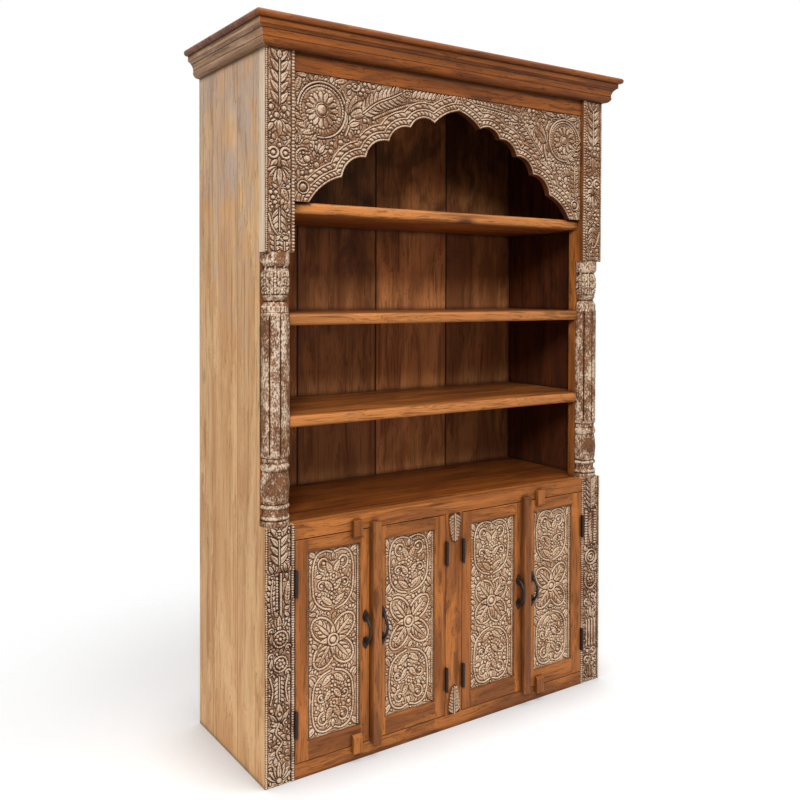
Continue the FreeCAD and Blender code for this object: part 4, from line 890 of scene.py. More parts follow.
def arch_half(node, side, motifs, volute, seed):
    """Half of the arch, with the grid's border drawn to the lobes. Volute is the place and
    radius of the ring at the foot."""
    low, high, span, rise = front_of(node)
    edge = arch_outline(node, side)
    u, v = grid(span, rise)
    middle_u, middle_v = ((p[:-1, :-1] + p[1:, 1:]) / 2 for p in (u, v))
    cells = middle_v > np.interp(middle_u, edge[:, 0], edge[:, 1], left=-1.0)
    kept = sum(np.pad(cells.astype(int), ((i, 1 - i), (j, 1 - j)))
               for i in (0, 1) for j in (0, 1))
    lobed = (kept > 0) & (kept < 4) & (v > 0) & (v < rise) & (u > 0) & (u < span)
    foot = (kept > 0) & (v <= 0) & (u > edge[0, 0] - GRID_MM / 2)
    crown = (kept > 0) & (u >= span) & (v < edge[-1, 1] + GRID_MM / 2)
    u[lobed], v[lobed] = nearest_on(edge, u[lobed], v[lobed]).T
    u[foot], v[foot] = edge[0]
    v[crown] = edge[-1, 1]
    carving = Carving(u, v, seed, GROUND)
    motifs(carving, span)
    lobed_bands(carving, edge, rise)
    carving.ridge(arc(*volute, 0, 360), 4, 6.2)
    carving.bead(*volute[:2], volute[2] * 0.62, 7)
    tones = carving.finish(kept == 4, ARCH_LEAVES, 5.8, 0.22, RELIEF, ARCH_WEAR)
    corner = (low if side > 0 else high)[X], low[Y], low[Z]
    piece = carved_board(f"{node}_carved", carving, tones, corner, high[Y], RELIEF,
                         [lime, inner_side_wood_and_shade], cells, hand=side)
    stand_in(piece, "case", node)


def left_arch_motifs(carving, span):
    """The left half: rosette, acanthus, and two feather fronds up to the crown."""
    rosette(carving, 81, 227, 68, 15)
    carving.leaf(6, 262, 68, 52, 20, 6.0, ribs=6)
    carving.leaf(40, 306, 178, 34, 14, 5.6, ribs=5)
    carving.leaf(118, 300, 12, 40, 15, 5.6, ribs=5)
    for u, v, radius in ((52, 73, 8), (39, 58, 7), (66, 91, 8), (106, 127, 7), (134, 152, 7),
                         (40, 104, 9), (24, 86, 6)):
        carving.bead(u, v, radius, 6.4)
    carving.ridge(arc(30, 108, 20, 60, 300), 6, 5.8, pitch=6)
    carving.fan(74, 120, 55, 65, 5, 30, 13, 5.6)
    carving.fan(12, 140, 80, 50, 4, 26, 12, 5.4)
    carving.ridge(bend((148, 170), (160, 205), (156, 245), (140, 280)), 5, 5.8)
    for angle, length in ((100, 46), (72, 60), (44, 66), (18, 58)):
        carving.leaf(163, 222, angle, length, 26, 6.0, ribs=6)
    carving.curl(176, 296, 12, 20, -1.2, 5.8, 5)
    carving.fan(160, 196, 20, 30, 3, 36, 14, 5.6)
    carving.sprig(bend((200, 232), (240, 262), (290, 284), (318, 298)), 14, 38, 13, 6.0,
                  lean=46, stem=4)
    carving.flower(333, 299, 12, 5, 6.0)
    for i in range(12):
        carving.leaf(352 + i * 12.6, 288 + i * 0.4, 58, 30, 11.5, 6.0, gap=1.8)
    carving.ridge(bend((230, 222), (300, 254), (360, 274), (430, 282), (span - 30, 284)), 7,
                  5.4, pitch=6.0, depth=0.7)


def right_arch_motifs(carving, span):
    """The right half: rosette, leafy scrolls, a small flower and a frond along the top."""
    rosette(carving, 67, 231, 61, 12)
    for u, v, radius in ((52, 76, 7), (64, 96, 7), (84, 118, 7), (106, 134, 7)):
        carving.bead(u, v, radius, 6.2)
    carving.sprig(bend((20, 66), (24, 110), (22, 158)), 13, 22, 11, 5.6, stem=4)
    carving.fan(48, 128, 70, 60, 5, 28, 13, 5.6)
    carving.ridge(bend((136, 168), (146, 200), (142, 250), (128, 282)), 5, 5.8)
    for angle, length in ((104, 44), (76, 58), (46, 56)):
        carving.leaf(146, 216, angle, length, 24, 6.0, ribs=6)
    carving.leaf(14, 300, -8, 40, 14, 5.6, ribs=5)
    carving.leaf(104, 300, 8, 40, 14, 5.6, ribs=5)
    carving.sprig(bend((160, 184), (186, 214), (210, 240), (226, 256)), 14, 27, 12, 5.8, stem=4)
    carving.flower(222, 281, 18, 8, 6.2)
    carving.fan(246, 272, 10, 45, 4, 34, 13, 5.6)
    carving.sprig(bend((284, 286), (340, 292), (400, 297), (430, 298)), 13, 20, 10, 5.8, stem=4)
    carving.ridge(bend((222, 218), (280, 246), (330, 268), (390, 280), (span - 30, 284)), 6,
                  5.2, pitch=6.0, depth=0.7)


arch_half("arch_left", 1, left_arch_motifs, (29, 35, 15), 11)
arch_half("arch_right", -1, right_arch_motifs, (23, 42, 14), 12)


# Carved boards beside the opening. Places (u, v) run from the outer edge and the foot

EDGE_STRIP = 6.0
INNER_STRIP = 10.0
MIDDLE = 37.0
BOARD_LEAVES = (12, 8, 6.5)
HINGE_LENGTH = 64.0
HINGE_LEAF = 1.5
HINGE_STRIP = 9.0
STRIP_BARE = 0.12


def strips(carving, width, height, outer_pitch, inner_pitch):
    """The beaded strips up both edges."""
    carving.ridge([(3.4, 1), (3.4, height - 1)], EDGE_STRIP, 6.4, pitch=outer_pitch, depth=0.8)
    carving.ridge([(width - 4.6, 1), (width - 4.6, height - 1)], INNER_STRIP * 0.9, 6.8,
                  pitch=inner_pitch, depth=0.6)


def upper_board_motifs(carving, width, top):
    """From the top: feather leaves, three berries, a hanging flower, round lobes, a palmette,
    small berries, a drop, feather leaves that hang, and a boss over slanting leaves."""
    strips(carving, width, top, 5.0, 8.0)
    carving.sprig([(MIDDLE, top - 132), (MIDDLE, top - 4)], 25, 38, 16, 6.4, lean=38, stem=3)
    carving.leaf(MIDDLE, top - 24, 90, 24, 14, 6.2)
    carving.fan(MIDDLE, top - 168, -90, 62, 5, 42, 17, 6.2)
    for u, down in ((30, 158), (49, 141), (16, 140)):
        carving.bead(u, top - down, 7.4, 7.0)
    carving.leaf(20, top - 176, -125, 26, 14, 5.8)
    carving.leaf(54, top - 176, -55, 26, 14, 5.8)
    for side in (-1, 1):
        lobe = (MIDDLE + side * 16, top - 246)
        carving.ridge(arc(*lobe, 12, 90 - side * 60, 90 + side * 230), 7, 6.2)
        carving.bead(*lobe, 6, 6.6)
        carving.leaf(MIDDLE + side * 6, top - 262, 90 - side * 140, 30, 15, 6.0)
    carving.bead(MIDDLE, top - 228, 6, 6.6)
    carving.fan(MIDDLE, top - 282, -90, 78, 7, 44, 15, 6.4)
    for u, down in ((20, 352), (28, 340), (14, 340), (26, 364)):
        carving.bead(u, top - down, 5.4, 6.4)
    carving.leaf(44, top - 330, -62, 34, 20, 6.2, ribs=6)
    carving.leaf(MIDDLE - 6, top - 366, -80, 24, 15, 6.0)
    carving.sprig([(MIDDLE, top - 376), (MIDDLE, top - 432)], 16, 32, 11, 6.2, lean=40, stem=3)
    carving.bead(MIDDLE - 2, top - 443, 9, 7.0)
    carving.ridge(bend((9, top - 392), (20, top - 424), (40, top - 448), (60, top - 472)), 5,
                  6.0)
    carving.sprig([(26, 2), (26, 38)], 12, 20, 10, 5.8)
    carving.sprig([(50, 2), (50, 24)], 11, 18, 9, 5.8)


def lower_board_motifs(carving, width, height):
    """From the top: feather leaves round a star, rope bars, a cup, two ringed flowers, a
    ladder of chevrons, a drop, a vine and a palmette on the floor."""
    strips(carving, width, height, 5.5, 6.0)
    carving.sprig([(MIDDLE, 530), (MIDDLE, 618)], 21, 36, 14, 6.2, lean=42, stem=3)
    carving.flower(MIDDLE, 604, 11, 4, 6.6)
    carving.fan(20, 512, 100, 50, 4, 26, 11, 6.0)
    carving.fan(54, 512, 80, 50, 4, 26, 11, 6.0)
    carving.sprig(bend((18, 420), (15, 456), (20, 496)), 13, 17, 9, 5.8, stem=3)
    carving.leaf(56, 432, 84, 62, 17, 6.0, ribs=7)
    carving.ridge([(31, 424), (31, 500)], 6, 6.2, pitch=7, depth=0.8)
    carving.ridge([(41, 410), (41, 508)], 6, 6.6)
    carving.fan(MIDDLE, 380, 90, 62, 5, 30, 14, 6.2)
    carving.leaf(MIDDLE, 384, -90, 14, 14, 6.0)
    for v, radius, petals in ((352, 19, 8), (292, 18, 7)):
        carving.ridge(arc(40, v, radius, 0, 360), 4.6, 6.4, pitch=6)
        carving.flower(40, v, radius - 4, petals, 6.2)
        carving.curl(16, v + 22, 8, 200, -1, 5.8, 4)
        carving.curl(60, v - 24, 8, 20, 1, 5.8, 4)
        carving.leaf(14, v - 8, 80, 26, 10, 5.8)
    carving.sprig([(MIDDLE, 262), (MIDDLE, 200)], 10, 19, 7.4, 6.2, lean=52, stem=3)
    carving.ridge(bend((13, 262), (20, 230), (14, 200)), 4.5, 5.8)
    carving.ridge(bend((61, 262), (54, 230), (60, 200)), 4.5, 5.8)
    carving.leaf(MIDDLE, 156, 90, 42, 24, 6.2)
    carving.bead(MIDDLE, 172, 5, 6.8)
    for side in (-1, 1):
        carving.leaf(MIDDLE + side * 6, 152, 90 - side * 38, 34, 12, 6.0)
        carving.curl(MIDDLE + side * 18, 148, 8, 90, side * 1.1, 5.8, 4)
    carving.sprig(bend((MIDDLE, 150), (28, 128), (44, 104), (30, 82), (MIDDLE, 62)), 13, 20,
                  10, 6.0, lean=58, stem=4)
    carving.fan(MIDDLE, 14, 90, 68, 7, 46, 14, 6.2)
    carving.bead(MIDDLE, 12, 7, 6.6)


def right_lower_motifs(carving, width, height):
    """As the left one, but with one long drop between the rope bars and reeds lower down."""
    strips(carving, width, height, 5.5, 6.0)
    carving.sprig([(MIDDLE, 528), (MIDDLE, 618)], 15, 34, 11, 6.2, lean=40, stem=4)
    for u in (20, 56):
        carving.ridge([(u, 418), (u, 522)], 12, 6.4, pitch=8, depth=0.7)
    carving.leaf(MIDDLE, 516, -90, 104, 22, 6.2, ribs=9)
    carving.ridge(arc(MIDDLE, 380, 22, 0, 360), 5, 6.6)
    carving.ridge(arc(MIDDLE, 380, 12, 0, 360), 4, 6.4)
    carving.bead(MIDDLE, 380, 7, 7.0)
    for u in (14, 60):
        carving.fan(u, 398, 90, 40, 3, 22, 10, 5.8)
    carving.ridge(arc(MIDDLE, 314, 24, 150, 400, 1.25), 5.5, 6.4, pitch=6)
    carving.flower(MIDDLE, 314, 16, 6, 6.2)
    carving.curl(24, 262, 12, 90, 1.2, 6.0, 5)
    carving.curl(52, 244, 12, 270, 1.2, 6.0, 5)
    carving.fan(MIDDLE, 196, 90, 60, 5, 34, 13, 6.2)
    for u in (20, 31, 43, 54):
        carving.ridge([(u, 112), (u, 188)], 7, 6.4)
    carving.curl(26, 92, 12, 300, -1.2, 6.0, 5)
    carving.curl(52, 66, 12, 120, -1.2, 6.0, 5)
    carving.bead(50, 94, 6, 6.6)
    carving.bead(24, 64, 6, 6.6)
    carving.fan(MIDDLE, 12, 90, 66, 7, 40, 13, 6.2)


def framed_board(node, hand, motifs, wear, bare, seed, hinges=()):
    """A board whose inner strip lies towards the opening. Hand is 1 for the left board. Bare
    is how much less lime it has than the others. Hinges are the heights of the hinges' feet."""
    low, high, width, height = front_of(node)
    u, v = grid(width, height)
    carving = Carving(u, v, seed, GROUND)
    motifs(carving, width, height)
    inside = (u > EDGE_STRIP + 2) & (u < width - INNER_STRIP - 1) & (v > 2) & (v < height - 2)
    tones = carving.finish(inside, BOARD_LEAVES, 6.0, 0.25, RELIEF, wear)
    # The strip at the opening is handled more and has lost more lime
    tones["paint"] -= bare + STRIP_BARE * (u > width - INNER_STRIP - 1)
    for foot in hinges:
        # The strip draws back where a hinge leaf is let into the edge
        let_in = (v > foot - low[Z]) & (v < foot - low[Z] + HINGE_LENGTH)
        u -= let_in * HINGE_LEAF * np.clip((u - width + HINGE_STRIP) / HINGE_STRIP, 0, 1)
    corner = (low if hand > 0 else high)[X], low[Y], low[Z]
    finishes = [lime, edge_highlight_wood] if "upper" in node else [dark_lime, side_wood]
    piece = carved_board(f"{node}_carved", carving, tones, corner, high[Y], RELIEF, finishes,
                         hand=hand)
    # The edge towards the opening is finished as the front is; on the lower boards the rest is
    # finished as the side is, and on the upper ones it is pale, with a painted highlight
    refinish(piece.data, stile_wood,
             lambda face: face.material_index == 1 and face.normal.x * hand > FACING)
    stand_in(piece, "case", node)


hinge_low, hinge_high, _, _ = front_of("door_1_hinge_leaves")
hinge_feet = (hinge_low[Z], hinge_high[Z] - HINGE_LENGTH)
framed_board("left_upper_carving", 1, upper_board_motifs, 0.2, 0.02, 21)
framed_board("right_upper_carving", -1, upper_board_motifs, 0.22, 0.09, 22)
framed_board("left_lower_carving", 1, lower_board_motifs, 0.2, 0.0, 23, hinge_feet)
framed_board("right_lower_carving", -1, right_lower_motifs, 0.2, 0.03, 24, hinge_feet)


# Door panels. Places (u, v) run from the panel's middle

# The medallion's outline, as shares of half the panel's width and height
MEDALLION_SHARES = ((-0.10, 0.33), (-0.44, 0.37), (-0.70, 0.47), (-0.77, 0.62), (-0.76, 0.80),
                    (-0.62, 0.93), (-0.32, 0.975), (0, 0.95), (0.32, 0.975), (0.62, 0.93),
                    (0.76, 0.80), (0.77, 0.62), (0.70, 0.47), (0.44, 0.37), (0.10, 0.33))
PANEL_RELIEF = 5.0
PANEL_GROUND = 1.9
PANEL_LEAVES = (14, 9.5, 7)
PANEL_WEAR = 0.16
TONGUE = 7.0
PETAL_RIBS = 6
# Length and width of the petals on each door: each panel was carved by eye
PETALS = {"door_1": (82, 60), "door_2": (86, 56), "door_3": (74, 66), "door_4": (80, 58)}


def looped_petal(carving, angle, length, width):
    """One of the four large petals: a notched rim round a ribbed leaf."""
    carving.ridge(arc(*polar(0, 0, length / 2, angle), length / 2 - 3.5, 0, 360,
                      (width - 6) / (length - 6), angle), 6, 4.0, pitch=6.5, depth=0.3)
    for i in range(3):
        for lean in (-40, 40):
            carving.leaf(*polar(0, 0, 20 + i * 15, angle), angle + lean,
                         width * (0.5 - 0.06 * i), 14, 4.5, ribs=PETAL_RIBS)
    carving.leaf(*polar(0, 0, 12, angle), angle, length * 0.76, 9, 4.8)


def panel_motifs(carving, half_width, half_height, petal, seed):
    """A four-petalled flower in the middle, and a leafy medallion above and below it."""
    pick = np.random.default_rng(seed)
    for side in (1, -1):
        turn = 90 * side
        tall = side * half_height
        for lean in (-1, 1):
            roll = lean * side
            wide = lean * half_width
            carving.scroll(wide * 0.36, tall * 0.84, 18, turn + 180, roll, 4.5)
            carving.scroll(wide * 0.44, tall * 0.60, 15, turn + 140 * roll, -roll, 4.5)
            for share, swing, length in ((0.72, 28, 36), (0.54, 40, 34), (0.38, 52, 40)):
                carving.leaf(lean * 3, tall * share, turn - roll * swing, length, 17, 4.7,
                             ribs=7)
            # Leaves outside the band, in the corners and beside the neck
            carving.leaf(wide * 0.97, tall * 0.99,
                         turn + 180 - 40 * roll + 20 * pick.uniform(-1, 1), 34, 16, 4.4)
            carving.fan(wide * 0.92, tall * 0.36, turn + 30 * roll, 34, 3, 34, 13, 4.4)
            carving.bead(wide * 0.5, tall * 0.37, 5, 4.8)
        band = [(a * half_width, b * tall) for a, b in MEDALLION_SHARES]
        carving.ridge(bend(*band), 5.4, 4.0, pitch=8, depth=0.2)
        carving.flower(pick.uniform(-3, 3), tall * 0.69, 13, 6, 4.8, turn=pick.uniform(0, 60))
        carving.fan(0, tall * 0.86, turn, 40, 3, 22, 11, 4.6)
        for i in range(5):
            carving.bead(pick.uniform(-5, 5), tall * (0.41 + 0.045 * i), 3.6, 4.7)
    for side in (-1, 1):
        strip = side * (half_width - 3)
        carving.ridge([(strip, -half_height), (strip, half_height)], 4.6, 4.2, pitch=5,
                      depth=0.8)
    for angle in (49, 131, 229, 311):
        looped_petal(carving, angle + pick.uniform(-6, 6), *petal)
    for angle in (0, 90, 180, 270):
        carving.leaf(0, 0, angle, 40, 16, 4.6)
    carving.ridge(arc(0, 0, 14, 0, 360), 5, 4.8)
    carving.bead(0, 0, 9, 5.0)


def door_panel(door, petal, seed):
    """A panel that is carved as far as its tongues, which lie in the frame's grooves."""
    low, high, width, height = front_of(f"{door}_panel")
    u, v = grid(width, height)
    u, v = u - width / 2, v - height / 2
    carving = Carving(u, v, seed, PANEL_GROUND)
    half_width, half_height = width / 2 - TONGUE, height / 2 - TONGUE
    panel_motifs(carving, half_width, half_height, petal, seed)
    shown = (abs(u) < half_width) & (abs(v) < half_height)
    tones = carving.finish(shown, PANEL_LEAVES, 4.6, 0.2, PANEL_RELIEF, PANEL_WEAR)
    middle = (low + high) / 2
    piece = carved_board(f"{door}_panel_carved", carving, tones, (middle[X], low[Y], middle[Z]),
                         high[Y], PANEL_RELIEF, [panel_lime, stile_wood])
    stand_in(piece, door, f"{door}_panel")


for seed, (door, petal) in enumerate(PETALS.items(), 31):
    door_panel(door, petal, seed)


# The two leaves on the mullion

LEAF_WIDTH = 38.0
LEAF_WAIST = 14.0
LEAF_LENGTH = 78.0
LEAF_SWELL = 4.6
LEAF_RELIEF = 6.0
LEAF_LOBES = 8
LEAF_GRID = (41, 71)
# Where its rounded tip starts and how long it is, as shares of its length
LEAF_TIP = (0.88, 0.125)
LOBE_CUT = 0.12
LOBE_PITCH = 8.6
LEAF_WEAR = 0.05


def mullion_leaf(name, foot, up, seed):
    """A leaf with eight lobes to each side of its vein. Up is -1 for the hanging one."""
    across, along = np.meshgrid(np.linspace(-1, 1, LEAF_GRID[0]),
                                np.linspace(0, 1, LEAF_GRID[1]))
    half = LEAF_WIDTH / 2 + (LEAF_WAIST - LEAF_WIDTH) / 2 * along \
        + LEAF_SWELL * 4 * along * (1 - along)
    tip, tip_length = LEAF_TIP
    half = half * np.sqrt(np.clip(1 - (np.clip(along - tip, 0, 1) / tip_length) ** 2, 0.03, 1))
    half = half * (1 - LOBE_CUT * abs(np.cos(LEAF_LOBES * math.pi * along)) ** 3)
    carving = Carving(across * half, along * LEAF_LENGTH, seed)
    for i in range(LEAF_LOBES):
        for side in (-1, 1):
            carving.leaf(0, 4 + i * LOBE_PITCH, 90 - side * 58, 25, 9.5, 5.0, gap=0.8)
    carving.ridge([(0, 0), (0, LEAF_LENGTH - 4)], 3.6, 5.8)
    tones = carving.finish(None, (), 0, 0.15, LEAF_RELIEF, LEAF_WEAR)
    corner = (leaf_low[X] + leaf_high[X]) / 2, leaf_low[Y], foot
    piece = carved_board(name, carving, tones, corner, leaf_high[Y], LEAF_RELIEF,
                         [lime, stile_wood], up=up)
    stand_in(piece, "case", "mullion_leaves")


leaf_low, leaf_high, _, _ = front_of("mullion_leaves")
mullion_leaf("hanging_leaf_carved", leaf_high[Z], -1, 41)
mullion_leaf("standing_leaf_carved", leaf_low[Z], 1, 42)


# Turned columns. From the foot: plinth, ring, cove, ring, vase, torus and the faceted shaft;
# from the shaft to the top: collar, flare, carved bulb and cap

COLUMN_RADIUS = 37.0
WAIST_RADIUS = 32.5
COLLAR_RADIUS = 35.0
NECK_RADIUS = 27.0
SWELL = COLUMN_RADIUS - WAIST_RADIUS
COVE = 2.0
PLINTH = 12.0
GROOVE = 1.0
RING = 12.0
COVE_HEIGHT = 15.0
VASE = 78.0
TORUS = 21.0
SHAFT_NECK = 12.0
SHOULDER = 9.0
COLLAR = 13.0
FLARE = 26.0
BULB = 71.0
CAP_TAPER = 8.0
CAP = 25.0
LEAF_CUT = 3.0
COLUMN_STEP = 1.7
CREASE_DEGREES = 48
# Between two facets: depth and half width of the sharp groove and of the hollow round it
FACET_DEGREES = 45
FACET_CUTS = ((2.6, 2.2), (1.2, 7))
FACET_FADE = 14
NOTCH_DEGREES = 20
NOTCH_HALF = 2
NOTCH_DEPTH = 1.6
# The knife's marks: their depth, their two sizes and what the small ones count
KNIFE_DEPTH = 0.35
KNIFE_SIZES = (9, 3.2)
KNIFE_SMALL = 0.6
EDGE_DEGREES = (90, 84)
# Lime on a column: on average, in patches (with their sizes), on what stands out of the turned
# shape, on the bulb, and what its foot has lost. In millimetres, where the dirt and painted shade
# of the grooves fade out
COLUMN_LIME = 0.44
COLUMN_PATCHES = 0.31
PATCH_SIZES = (26, 9)
LIME_ON_ROUNDS = 0.12
LIME_ON_BULB = 0.1
FOOT_WEAR = 0.12
GROOVE_DIRT_AND_SHADE = (-1.5, -0.4)


def turned_profile(height):
    """Radius and height up the column, from the foot to the cap block."""
    points = [(COLUMN_RADIUS, 0), (COLUMN_RADIUS, PLINTH), (WAIST_RADIUS, PLINTH)]
    z = PLINTH + GROOVE

    def turned(length, out):
        nonlocal z
        for share in np.linspace(0, 1, max(6, int(length / 1.6))):
            points.append((WAIST_RADIUS + out * 4 * share * (1 - share), z + length * share))
        z += length

    for length, out in ((RING, SWELL), (COVE_HEIGHT, -COVE), (RING, SWELL), (VASE, SWELL),
                        (TORUS, SWELL)):
        turned(length, out)
    z += SHAFT_NECK
    rounded = [(WAIST_RADIUS + SWELL * math.sqrt(1 - (1 - share) ** 2), SHOULDER * share)
               for share in np.linspace(0, 1, 9)]
    points += [(out, z + rise) for out, rise in rounded]
    z = height - CAP - CAP_TAPER - BULB - FLARE - COLLAR
    points += [(out, z - rise) for out, rise in reversed(rounded)] + [(COLLAR_RADIUS, z)]
    z += COLLAR
    points += [(COLLAR_RADIUS, z), (NECK_RADIUS, z + FLARE / 2), (WAIST_RADIUS, z + FLARE)]
    z += FLARE
    turned(BULB, SWELL)
    points += [(COLUMN_RADIUS, z + CAP_TAPER), (COLUMN_RADIUS, height)]
    points = np.array(points)
    fine = [points[0]]
    for a, b in zip(points, points[1:]):
        steps = max(1, int(math.dist(a, b) / COLUMN_STEP))
        fine += [a + (b - a) * (i + 1) / steps for i in range(steps)]
    return np.array(fine)


def column(node, seed):
    """A half-round column, turned, then faceted and carved by hand."""
    low, high, _, height = front_of(node)
    profile = turned_profile(height)
    turns = np.linspace(-90, 90, int(math.pi * COLUMN_RADIUS / COLUMN_STEP) + 1)
    angle, z = np.meshgrid(turns, profile[:, 1])
    u = np.radians(angle) * COLUMN_RADIUS
    carving = Carving(u, z, seed)
    shaft_foot = PLINTH + GROOVE + RING * 2 + COVE_HEIGHT + VASE + TORUS + SHAFT_NECK
    bulb_foot = height - CAP - CAP_TAPER - BULB
    shaft_top = bulb_foot - FLARE - COLLAR
    # Broad ribbed leaves round the bulb, with a row of beads between each two
    step = math.radians(FACET_DEGREES) * COLUMN_RADIUS
    for i in range(-2, 3):
        for row in range(3):
            for side in (-1, 1):
                carving.leaf(i * step, bulb_foot + 3 + row * 20, 90 - side * 38, 28, 13,
                             LEAF_CUT, full=0.9)
    for i in (-1.5, -0.5, 0.5, 1.5):
        carving.ridge([(i * step, bulb_foot + 3), (i * step, bulb_foot + BULB - 3)], 6,
                      LEAF_CUT, pitch=7, depth=0.9)
    bulb = soft_step(bulb_foot - 1, bulb_foot + 3, z) * (
        1 - soft_step(bulb_foot + BULB - 3, bulb_foot + BULB + 1, z))
    cut = bulb * (LEAF_CUT - carving.height)
    # Rounded facets, with a groove between each two
    shaft = soft_step(shaft_foot, shaft_foot + FACET_FADE, z) * (
        1 - soft_step(shaft_top - FACET_FADE, shaft_top, z))
    facet = abs((angle + FACET_DEGREES / 2) % FACET_DEGREES - FACET_DEGREES / 2)
    away = np.radians(facet) * COLUMN_RADIUS
    cut += shaft * sum(depth * np.exp(-(away / half) ** 2) for depth, half in FACET_CUTS)
    # Notches round the collar
    collar = (z > shaft_top + 1) & (z < shaft_top + COLLAR - 1)
    notch = abs((angle + NOTCH_DEGREES / 2) % NOTCH_DEGREES - NOTCH_DEGREES / 2)
    cut += collar * NOTCH_DEPTH * (notch < NOTCH_HALF)
    # Tool marks all over, and nothing cut at the edges that touch the stile
    edge = soft_step(*EDGE_DEGREES, abs(angle))
    large, small = (lumps(u, z, size, seed + i) for i, size in enumerate(KNIFE_SIZES))
    cut = (cut + KNIFE_DEPTH * (1 + large + KNIFE_SMALL * small)) * edge
    reach = np.repeat(profile[:, :1], len(turns), axis=1) - cut
    points = np.stack([(low[X] + high[X]) / 2 + reach * np.sin(np.radians(angle)),
                       high[Y] - reach * np.cos(np.radians(angle)), low[Z] + z], -1)
    rows, columns = angle.shape
    index = np.arange(rows * columns).reshape(rows, columns)
    faces = np.stack([index[:-1, :-1], index[:-1, 1:], index[1:, 1:], index[1:, :-1]],
                     -1).reshape(-1, 4).tolist()
    smooth = len(faces)
    faces += [index[0, ::-1].tolist(), index[-1].tolist(),
              index[:, 0].tolist() + index[::-1, -1].tolist()]
    # Lime is left in patches, less of it near the foot, and dirt and painted shade darken the
    # turned grooves and the sides that touch the stile
    large, small = PATCH_SIZES
    patch = lumps(u, z / 2, large, seed + 3) + 0.8 * lumps(u, z / 1.5, small, seed + 4)
    waist = reach - blurred(reach, 4)
    foot_wear = FOOT_WEAR * (1 - soft_step(0, shaft_foot, z))
    paint = COLUMN_LIME + COLUMN_PATCHES * patch * (1 - 0.6 * bulb) + LIME_ON_ROUNDS * waist \
        + LIME_ON_BULB * bulb - foot_wear
    # Dirt and painted shade: dark in the grooves and at the sides that touch the stile
    depth = soft_step(*GROOVE_DIRT_AND_SHADE, waist) * edge
    piece = mesh_object(f"{node}_turned", points.reshape(-1, 3), faces, smooth,
                        {"paint": paint.reshape(-1), "depth": depth.reshape(-1)}, [column_lime])
    piece.data.set_sharp_from_angle(angle=math.radians(CREASE_DEGREES))
    stand_in(piece, "case", node)


column("left_column", 51)
column("right_column", 61)


# Floor, light and camera, in metres

FLOOR_REACH = 3.2
FLOOR_FADE = (0.72, 1.5)
FLOOR_GLOW = 0.1
CONTACT_REACH = 0.2
CONTACT_CLOSED = 0.5
CONTACT_GREY = 0.62
AMBIENT = 0.4
WHITE = "#FFFFFF"


def background_rays(tree):
    """1 for the rays that show the background: seen, mirrored or through glass."""
    rays = add(tree, "LightPath").outputs
    seen = rays["Is Camera Ray"]
    for kind in ("Is Glossy Ray", "Is Transmission Ray"):
        seen = add(tree, "Math", [seen, rays[kind]], operation="MAXIMUM")
    return seen


def floor_material():
    """A matt white studio floor, greyer in the contact shadow round the base. It fades out, so
    that no edge or horizon shows."""
    made, tree, shader = new_material("studio_floor_matt_white")
    tree.nodes.remove(shader)
    near = add(tree, "AmbientOcclusion", {"Distance": CONTACT_REACH}, samples=CORNER_RAYS)
    shade = add(tree, "MapRange", [near.outputs["AO"], CONTACT_CLOSED, 1, CONTACT_GREY])
    grey = add(tree, "CombineColor", [shade, shade, shade])
    glow = add(tree, "Math", [background_rays(tree), FLOOR_GLOW], operation="MULTIPLY")
    place = add(tree, "TexCoord").outputs["Object"]
    far = add(tree, "VectorMath", [place], operation="LENGTH").outputs["Value"]
    fade = add(tree, "MapRange", [far, *FLOOR_FADE], interpolation_type="SMOOTHSTEP")
    matt = add(tree, "BsdfDiffuse", {"Color": grey})
    bright = add(tree, "Emission", {"Color": colour(WHITE), "Strength": glow})
    lit = add(tree, "AddShader", [matt, bright])
    blend = add(tree, "MixShader", [fade, lit, add(tree, "BsdfTransparent")])
    feed(tree.nodes["Material Output"], {"Surface": blend})
    return made


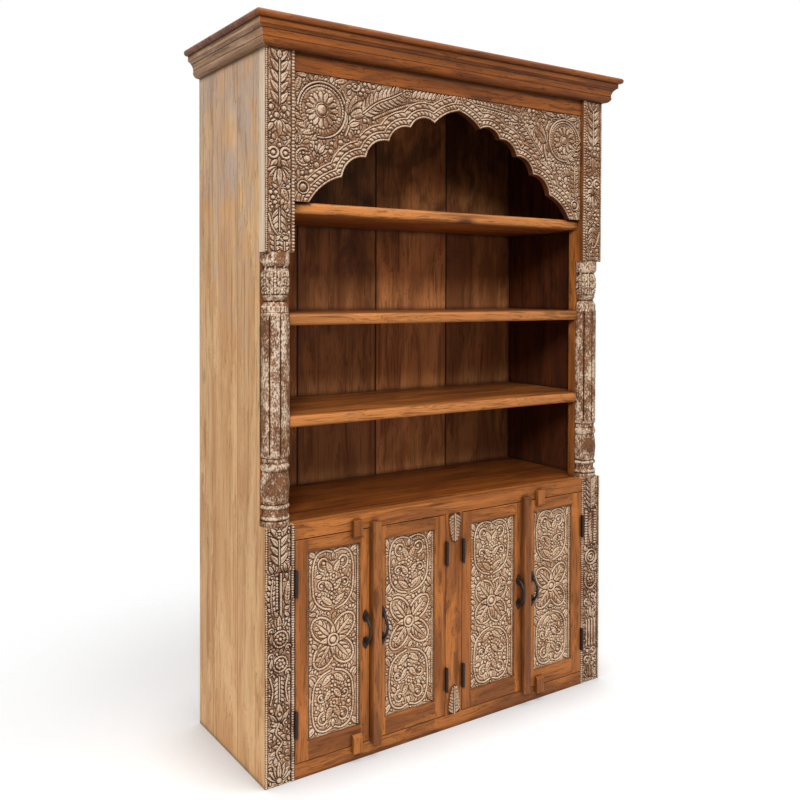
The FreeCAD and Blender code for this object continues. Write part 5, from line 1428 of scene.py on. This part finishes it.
floor_mesh = bpy.data.meshes.new("studio_floor")
floor_mesh.from_pydata([(x * FLOOR_REACH, y * FLOOR_REACH, 0)
                        for x, y in ((-1, -1), (1, -1), (1, 1), (-1, 1))], [], [(0, 1, 2, 3)])
floor_mesh.materials.append(floor_material())
floor = bpy.data.objects.new("studio_floor", floor_mesh)
scene.collection.objects.link(floor)

# An even white studio, full white where it is seen and dimmer as a light
world = bpy.data.worlds.new("studio")
world.use_nodes = True
seen = background_rays(world.node_tree)
feed(world.node_tree.nodes["Background"], {
    "Color": colour(WHITE),
    "Strength": add(world.node_tree, "MapRange", [seen, 0, 1, AMBIENT])})
scene.world = world


def softbox(name, at, target, size, power):
    """A square studio lamp that points at a target."""
    data = bpy.data.lights.new(name, "AREA")
    data.size = size
    data.energy = power
    lamp = bpy.data.objects.new(name, data)
    scene.collection.objects.link(lamp)
    lamp.location = at
    lamp.rotation_euler = (Vector(target) - Vector(at)).to_track_quat("-Z", "Y").to_euler()


softbox("key_light", (-2.6, -3.6, 3.4), (0, 0, 0.9), 1.4, 195)
softbox("top_light", (0.6, -1.2, 4.2), (0, 0, 0.9), 2.5, 70)

# The camera stands where the photograph was taken, in metres and degrees
CAMERA_AT = (-1.49706, -2.10865, 1.18027)
CAMERA_YAW, CAMERA_PITCH, CAMERA_ROLL = 34.342, -0.991, 0.156
FOCAL_PIXELS = 903.45
IMAGE_PIXELS = 800
HORIZON_PIXEL = 308.32
SENSOR_MM = 36

camera_data = bpy.data.cameras.new("camera")
camera_data.sensor_width = SENSOR_MM
camera_data.lens = FOCAL_PIXELS / IMAGE_PIXELS * SENSOR_MM
camera_data.shift_y = (HORIZON_PIXEL - IMAGE_PIXELS / 2) / IMAGE_PIXELS
camera = bpy.data.objects.new("camera", camera_data)
stance = Matrix.Translation(CAMERA_AT)
for degrees, axis in ((-CAMERA_YAW, "Z"), (90 + CAMERA_PITCH, "X"), (CAMERA_ROLL, "Z")):
    stance @= Matrix.Rotation(math.radians(degrees), 4, axis)
camera.matrix_world = stance
scene.collection.objects.link(camera)
scene.camera = camera
scene.view_settings.view_transform = "Standard"
